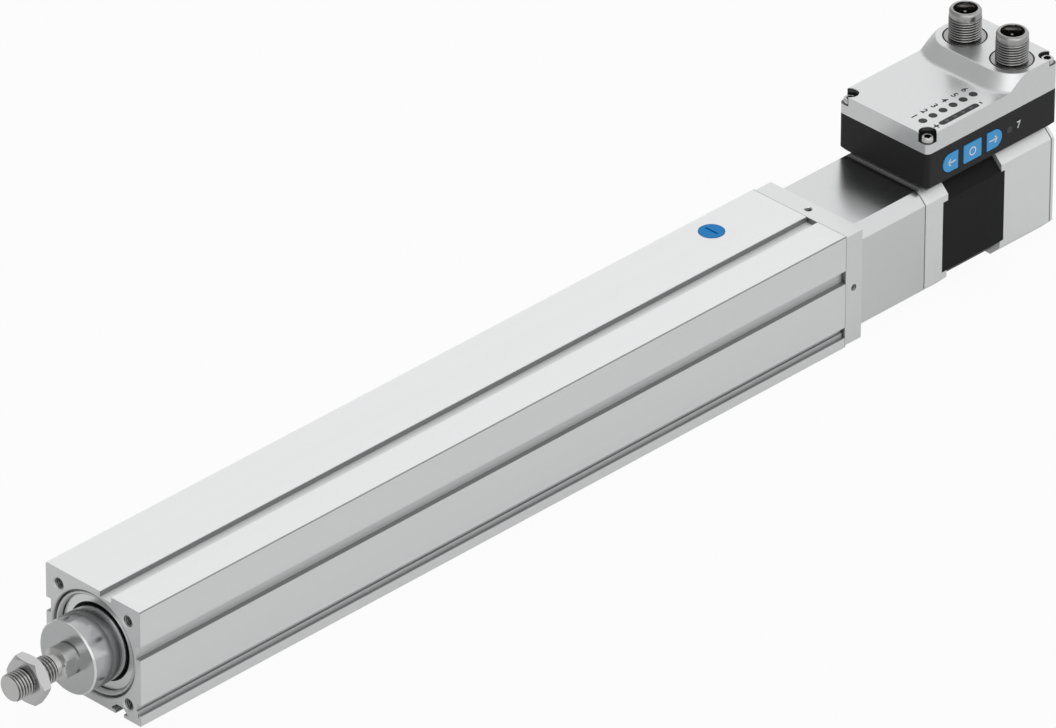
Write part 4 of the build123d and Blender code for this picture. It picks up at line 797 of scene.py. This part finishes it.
@dataclass
class ButtonSigns:
    """White signs on the push buttons: an arrow each way and a ring. Lengths are in millimetres."""

    groups: Groups
    face: float = -21.45
    level: float = 29.25
    row: float = 402.8
    pitch: float = 11.1
    arrow_shift: float = 0.6
    arrow_length: float = 4.0
    head: float = 1.35
    stroke: float = 0.5
    ring_radius: float = 1.7
    thickness: float = 0.02
    gap: float = 0.002
    columns: int = 48

    def _plate(self, name: str, body: str, outline: np.ndarray, quads: np.ndarray) -> None:
        """Make one flat sign with a small thickness from points in the face's plane.

        Args:
            name: Name of the sign.
            body: The button it rides on.
            outline: Points along and up the face.
            quads: Four point numbers for each stroke of the sign.
        """
        front = np.stack([outline[:, 0], np.full(len(outline), self.face - self.thickness), outline[:, 1]], -1)
        back = front + np.array([0.0, self.thickness - self.gap, 0.0])
        n = len(outline)
        sides = np.concatenate([
            np.stack([quads[:, i], quads[:, (i + 1) % 4], quads[:, (i + 1) % 4] + n, quads[:, i] + n], -1)
            for i in range(4)
        ])
        data = bpy.data.meshes.new(name)
        faces = np.concatenate([quads, quads[:, ::-1] + n, sides[:, ::-1]])
        data.from_pydata((np.vstack([front, back]) * MM).tolist(), [], faces.tolist())
        piece = new_object(name, data)
        data.materials.append(WHITE_INK.material(self.groups))
        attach(piece, body)
        LOG.info("built %s", name)

    def _bar(self, start: Pair, end: Pair) -> np.ndarray:
        """Work out a straight stroke.

        Args:
            start: Middle of its one end.
            end: Middle of its other end.

        Returns:
            Its four corners, in order round it.
        """
        a, b = np.array(start), np.array(end)
        way = (b - a) / np.linalg.norm(b - a) * self.stroke / 2
        side = np.array([-way[1], way[0]])
        return np.array([a - side, b - side, b + side, a + side])

    def build(self) -> None:
        """Make the three signs. The ring's points lie on two circles, at equal angles."""
        for body, way in (("button_left", -1), ("button_right", 1)):
            middle = self.row + way * (self.pitch - self.arrow_shift)
            tail, tip = ((middle + end * self.arrow_length / 2, self.level) for end in (-way, way))
            bars = [self._bar(tail, tip)]
            for up in (-1, 1):
                bars.append(self._bar((tip[0] - way * self.head, self.level + up * self.head), tip))
            points = np.vstack(bars)
            self._plate(f"sign_{body}", body, points, np.arange(12).reshape(3, 4))
        angle, n = Shapes.turn(self.columns), self.columns
        rings = [
            np.stack([self.row + r * np.cos(angle), self.level + r * np.sin(angle)], -1)
            for r in (self.ring_radius, self.ring_radius - self.stroke)
        ]
        here = np.arange(n)
        quads = np.stack([here, (here + 1) % n, (here + 1) % n + n, here + n], -1)
        self._plate("sign_button_middle", "button_middle", np.vstack(rings), quads)


@dataclass
class DriveMarks:
    """Numbers beside the lights, signs beside the bar and the segments of the bar, in millimetres."""

    groups: Groups
    level: float = 44.35
    first_light: float = 386.8
    light_pitch: float = 5.08
    lights: int = 6
    number_side: float = -8.2
    letter_size: float = 3.9
    sign_size: float = 5.2
    letter_weight: float = 0.06
    bar_x: float = 398.85
    bar_y: float = -18.2
    segments: int = 4
    segment_length: float = 1.5
    segment_width: float = 1.1
    bar_run: float = 12.0
    thickness: float = 0.02
    drive_half: float = 21.2
    side_light_x: float = 421.7
    side_light_level: float = 29.65
    side_light_radius: float = 1.3
    side_number_x: float = 426.3
    side_number_lift: float = 0.2
    plus_shift: float = 11.6
    minus_shift: float = 11.4
    dome: float = 0.05
    light_columns: int = 48
    segment_columns: int = 40

    def _letter(self, text: str, x: float, y: float, on_side: bool = False) -> None:
        """Make one printed sign, on top with its top towards +X, or upright on the near side.

        Args:
            text: The number or sign.
            x: Middle along the drive unit.
            y: Middle across it, or its height on the side.
            on_side: Whether it stands on the near side, in white.
        """
        curve = bpy.data.curves.new(f"print_{text}", "FONT")
        curve.body = text
        curve.size = (self.letter_size if text.isdigit() else self.sign_size) * MM
        curve.extrude = self.thickness * MM
        curve.offset = self.letter_weight * MM
        curve.align_x, curve.align_y = "CENTER", "CENTER"
        source = new_object(curve.name, curve)
        bpy.context.view_layer.update()
        data = bpy.data.meshes.new_from_object(source)
        bpy.data.objects.remove(source)
        top, side = (self.level + self.thickness) * MM, -(self.drive_half + self.thickness) * MM
        lying = Matrix(((0, 1, 0, x * MM), (-1, 0, 0, y * MM), (0, 0, 1, top), (0, 0, 0, 1)))
        upright = Matrix(((1, 0, 0, x * MM), (0, 0, -1, side), (0, 1, 0, y * MM), (0, 0, 0, 1)))
        data.transform(upright if on_side else lying)
        safe = {"+": "plus", "-": "minus"}.get(text, text)
        piece = new_object(f"print_{safe}", data)
        data.materials.clear()
        data.materials.append((WHITE_INK if on_side else INK).material(self.groups))
        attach(piece, "base")
        LOG.info("built %s", piece.name)

    def _side_light(self) -> None:
        """Make the round face of the side light: r grows to its radius while the dome falls by its square."""
        angle = Shapes.turn(self.light_columns)
        share = np.array([0.0, 0.5, 0.8, 1.0, 1.0, 0.0])
        rise = np.array([1.0, 0.75, 0.36, 0.1, -0.5, -0.5])
        out, east, up = Shapes.around(rise, share[:, None] * self.side_light_radius, angle)
        place = (self.side_light_x + east, -self.drive_half - self.dome * out, self.side_light_level + up)
        piece = Shapes.tube("side_light_face", place, SIDE_LENS.material(self.groups))
        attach(piece, "base")

    def _segment(self, number: int, x: float) -> None:
        """Make one segment of the bar as a flat superellipse with a low dome.

        x and y are the half sizes times the signed square root of cos and sin of the angle, times the
        share of the way out, and z rises from the bar's face by one less the share to the fourth.

        Args:
            number: Number of the segment.
            x: Middle along the bar.
        """
        angle = Shapes.turn(self.segment_columns)
        share = np.array([0.0, 0.5, 0.8, 0.95, 1.0, 1.0, 0.0])
        rise = np.array([1.0, 0.97, 0.75, 0.4, 0.1, -0.5, -0.5])
        side_x, side_y = (np.sign(part) * np.sqrt(np.abs(part)) for part in (np.cos(angle), np.sin(angle)))
        place = (
            x + share[:, None] * side_x * self.segment_length / 2,
            self.bar_y + share[:, None] * side_y * self.segment_width / 2,
            self.level + self.dome * rise[:, None] * np.ones(self.segment_columns),
        )
        piece = Shapes.tube(f"bar_segment_{number}", place, SEGMENT.material(self.groups))
        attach(piece, "base")

    def build(self) -> None:
        """Make all marks."""
        for i in range(self.lights):
            self._letter(str(i + 1), self.first_light + i * self.light_pitch, self.number_side)
        self._letter("+", self.bar_x - self.plus_shift, self.bar_y)
        self._letter("-", self.bar_x + self.minus_shift, self.bar_y)
        beside = self.side_light_level + self.side_number_lift
        self._letter(str(self.lights + 1), self.side_number_x, beside, True)
        self._side_light()
        for i in range(self.segments):
            place = self.bar_x + (i - (self.segments - 1) / 2) * self.bar_run / (self.segments - 1)
            self._segment(i + 1, place)


@dataclass
class Studio:
    """Floor, light and camera. Lengths are in metres."""

    azimuth: float = -45.490
    elevation: float = 31.768
    roll: float = 0.2434
    distance: float = 5.046998
    target: Triple = (0.205204, 0.0, 0.019570)
    focal_pixels: float = 14859.33
    frame_width: int = 1056
    sensor: float = 36.0
    clip: Pair = (0.05, 50.0)
    floor_level: float = -0.02253
    floor_half: float = 6.0
    paper_color: tuple[float, ...] = (0.55, 0.55, 0.55, 1.0)
    paper_roughness: float = 0.9
    paper_share: float = 0.95
    paper_in_gloss: float = 0.35
    world_strength: float = 0.40
    world_in_gloss: float = 0.9
    dark_side: Triple = (-0.707, 0.707, 0.0)
    dark_range: Pair = (0.15, 0.75)
    dark_level: float = 0.42
    ceiling_range: Pair = (0.6, 0.95)
    ceiling_level: float = 0.75
    window_side: Triple = (-0.37, -0.38, 0.85)
    window_range: Pair = (0.93, 0.985)
    window_level: float = 0.65

    def camera(self) -> None:
        """Set the camera at the photograph's angle."""
        a, e, r = radians(self.azimuth), radians(self.elevation), radians(self.roll)
        back = Vector((np.sin(a) * np.cos(e), -np.cos(a) * np.cos(e), np.sin(e)))
        right = (-back).cross(Vector((0, 0, 1))).normalized()
        up = right.cross(-back)
        right, up = right * np.cos(r) + up * np.sin(r), up * np.cos(r) - right * np.sin(r)
        data = bpy.data.cameras.new("photo_view")
        data.sensor_width = self.sensor
        data.lens = self.focal_pixels / self.frame_width * self.sensor
        data.clip_start, data.clip_end = self.clip
        camera = new_object("photo_view", data)
        place = Matrix.Translation(Vector(self.target) + back * self.distance)
        camera.matrix_world = place @ Matrix((right, up, back)).transposed().to_4x4()
        bpy.context.scene.camera = camera

    def lamp(
        self, name: str, place: Triple, aim: Triple, size: float, power: float, in_gloss: bool = True,
    ) -> None:
        """Add a square area lamp.

        Args:
            name: Name of the lamp.
            place: Where it stands.
            aim: The point it faces.
            size: Its side.
            power: Its power in watts.
            in_gloss: Whether metal reflects it. The room's own light is reflected in its place.
        """
        data = bpy.data.lights.new(name, "AREA")
        data.size = size
        data.energy = power
        lamp = new_object(name, data)
        lamp.location = place
        lamp.visible_glossy = in_gloss
        lamp.rotation_euler = (Vector(place) - Vector(aim)).to_track_quat("Z", "Y").to_euler()

    def _background(
        self, tree: NodeTree, surface: NodeSocket, share: float, in_gloss: float, gloss: NodeSocket | None = None,
    ) -> NodeSocket:
        """Show white to camera and transmission rays, and a soft room to glossy rays, mixed over a surface.

        Args:
            tree: The node tree.
            surface: The shader socket for all other rays.
            share: How much of the white shows to camera and transmission rays.
            in_gloss: How much of the room shows to glossy rays.
            gloss: A colour socket for the room, or None for white.

        Returns:
            The mixed shader's socket.
        """
        rays = add_node(tree, "LightPath").outputs
        first = maths(tree, "MAXIMUM", rays["Is Camera Ray"], rays["Is Transmission Ray"])
        shown = surface
        kind = "Background" if surface.node.type == "BACKGROUND" else "Emission"
        for ray, part, color in ((rays["Is Glossy Ray"], in_gloss, gloss), (first, share, None)):
            amount = maths(tree, "MULTIPLY", ray, part)
            glow = add_node(tree, kind, {"Color": WHITE if color is None else color, "Strength": 1.0})
            shown = add_node(tree, "MixShader", {0: amount, 1: shown, 2: glow.outputs[0]}).outputs[0]
        return shown

    def _room(self, tree: NodeTree) -> NodeSocket:
        """Soft room that metal reflects: white, with a dark side along -X +Y and a grey ceiling.

        The dot product of the direction with the dark side's direction drives a smooth ramp. A second
        ramp over the direction's height takes the ceiling down, and a soft bright window is added near one
        direction.

        Args:
            tree: The world's node tree.

        Returns:
            The colour socket.
        """
        way = add_node(tree, "TexCoord").outputs["Generated"]
        dark, near = (
            add_node(tree, "VectorMath", {0: way, 1: side}, operation="DOT_PRODUCT").outputs["Value"]
            for side in (self.dark_side, self.window_side)
        )
        ramp = add_node(tree, "ValToRGB", {"Fac": dark})
        ramp.color_ramp.interpolation = "EASE"
        for element, position, level in zip(ramp.color_ramp.elements, self.dark_range, (1.0, self.dark_level)):
            element.position, element.color = position, (level, level, level, 1)
        up = add_node(tree, "SeparateXYZ", {0: way}).outputs["Z"]
        ceiling, window = (
            add_node(tree, "MapRange", {
                "From Min": reach[0], "From Max": reach[1], "To Min": low, "To Max": high, "Value": value,
            }, interpolation_type="SMOOTHSTEP").outputs["Result"]
            for value, reach, low, high in (
                (up, self.ceiling_range, 1.0, self.ceiling_level),
                (near, self.window_range, 0.0, self.window_level),
            )
        )
        walls = add_node(tree, "VectorMath", {0: ramp.outputs["Color"], "Scale": ceiling}, operation="SCALE")
        seen = add_node(tree, "VectorMath", {0: walls.outputs["Vector"], 1: window}, operation="ADD")
        return seen.outputs["Vector"]

    def _floor(self) -> None:
        """Make the paper floor, which shows from above only."""
        corner = np.array([(-1, -1), (1, -1), (1, 1), (-1, 1)]) * self.floor_half
        data = bpy.data.meshes.new("floor")
        data.from_pydata([(x, y, self.floor_level) for x, y in corner.tolist()], [], [(0, 1, 2, 3)])
        floor = new_object("floor", data)
        paper = bpy.data.materials.new("white_paper")
        paper.use_nodes = True
        tree = paper.node_tree
        shader = tree.nodes["Principled BSDF"]
        shader.inputs["Base Color"].default_value = self.paper_color
        shader.inputs["Roughness"].default_value = self.paper_roughness
        shown = self._background(tree, shader.outputs[0], self.paper_share, self.paper_in_gloss)
        below = add_node(tree, "NewGeometry").outputs["Backfacing"]
        clear = add_node(tree, "BsdfTransparent").outputs[0]
        mix = add_node(tree, "MixShader", {0: below, 1: shown, 2: clear})
        tree.links.new(mix.outputs[0], tree.nodes["Material Output"].inputs["Surface"])
        data.materials.append(paper)

    def build(self) -> None:
        """Make the floor, the world and the lamps, and set the plain view transform."""
        self.camera()
        bpy.context.scene.view_settings.view_transform = "Standard"
        world = bpy.data.worlds.new("soft_room")
        bpy.context.scene.world = world
        world.use_nodes = True
        tree = world.node_tree
        light = tree.nodes["Background"]
        light.inputs["Color"].default_value = WHITE
        light.inputs["Strength"].default_value = self.world_strength
        shown = self._background(tree, light.outputs[0], 1.0, self.world_in_gloss, self._room(tree))
        tree.links.new(shown, tree.nodes["World Output"].inputs["Surface"])
        self._floor()
        self.lamp("top_lamp", (0.5, 0.0, 1.6), (0.5, 0, 0), 2.6, 22.0, False)
        self.lamp("side_lamp", (0.1, -1.8, 0.9), (0.2, 0, 0), 1.4, 3.0)
        self.lamp("front_lamp", (-1.8, -0.6, 0.8), (0.1, 0, 0), 1.2, 0.8)
        LOG.info("built the studio")


def dress_solids(frame: dict, groups: Groups) -> None:
    """Give each solid its material, which is bright steel where the table names none.

    Args:
        groups: The shared node groups.
    """
    for name, node in frame["nodes"].items():
        node.data.materials.clear()
        node.data.materials.append(NODE_FINISHES.get(name, STEEL).material(groups))
    LOG.info("dressed %d solids", len(frame["nodes"]))


def main() -> None:
    """Build the whole scene."""
    logging.basicConfig(level=logging.INFO, format="%(message)s")
    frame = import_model()
    groups = Groups()
    Studio().build()
    dress_solids(frame, groups)
    RodEnd(groups).build()
    connector = RoundConnector(groups)
    for kind, way in (("power", -1), ("signal", 1)):
        connector.build(f"{kind}_plug_shell", f"{kind}_connector", way * connector.side)
    for maker in (HoleThreads, CoverScrews, ButtonSigns, DriveMarks):
        maker(groups).build()
    bpy.context.view_layer.update()


if __name__ == "__main__":
    main()
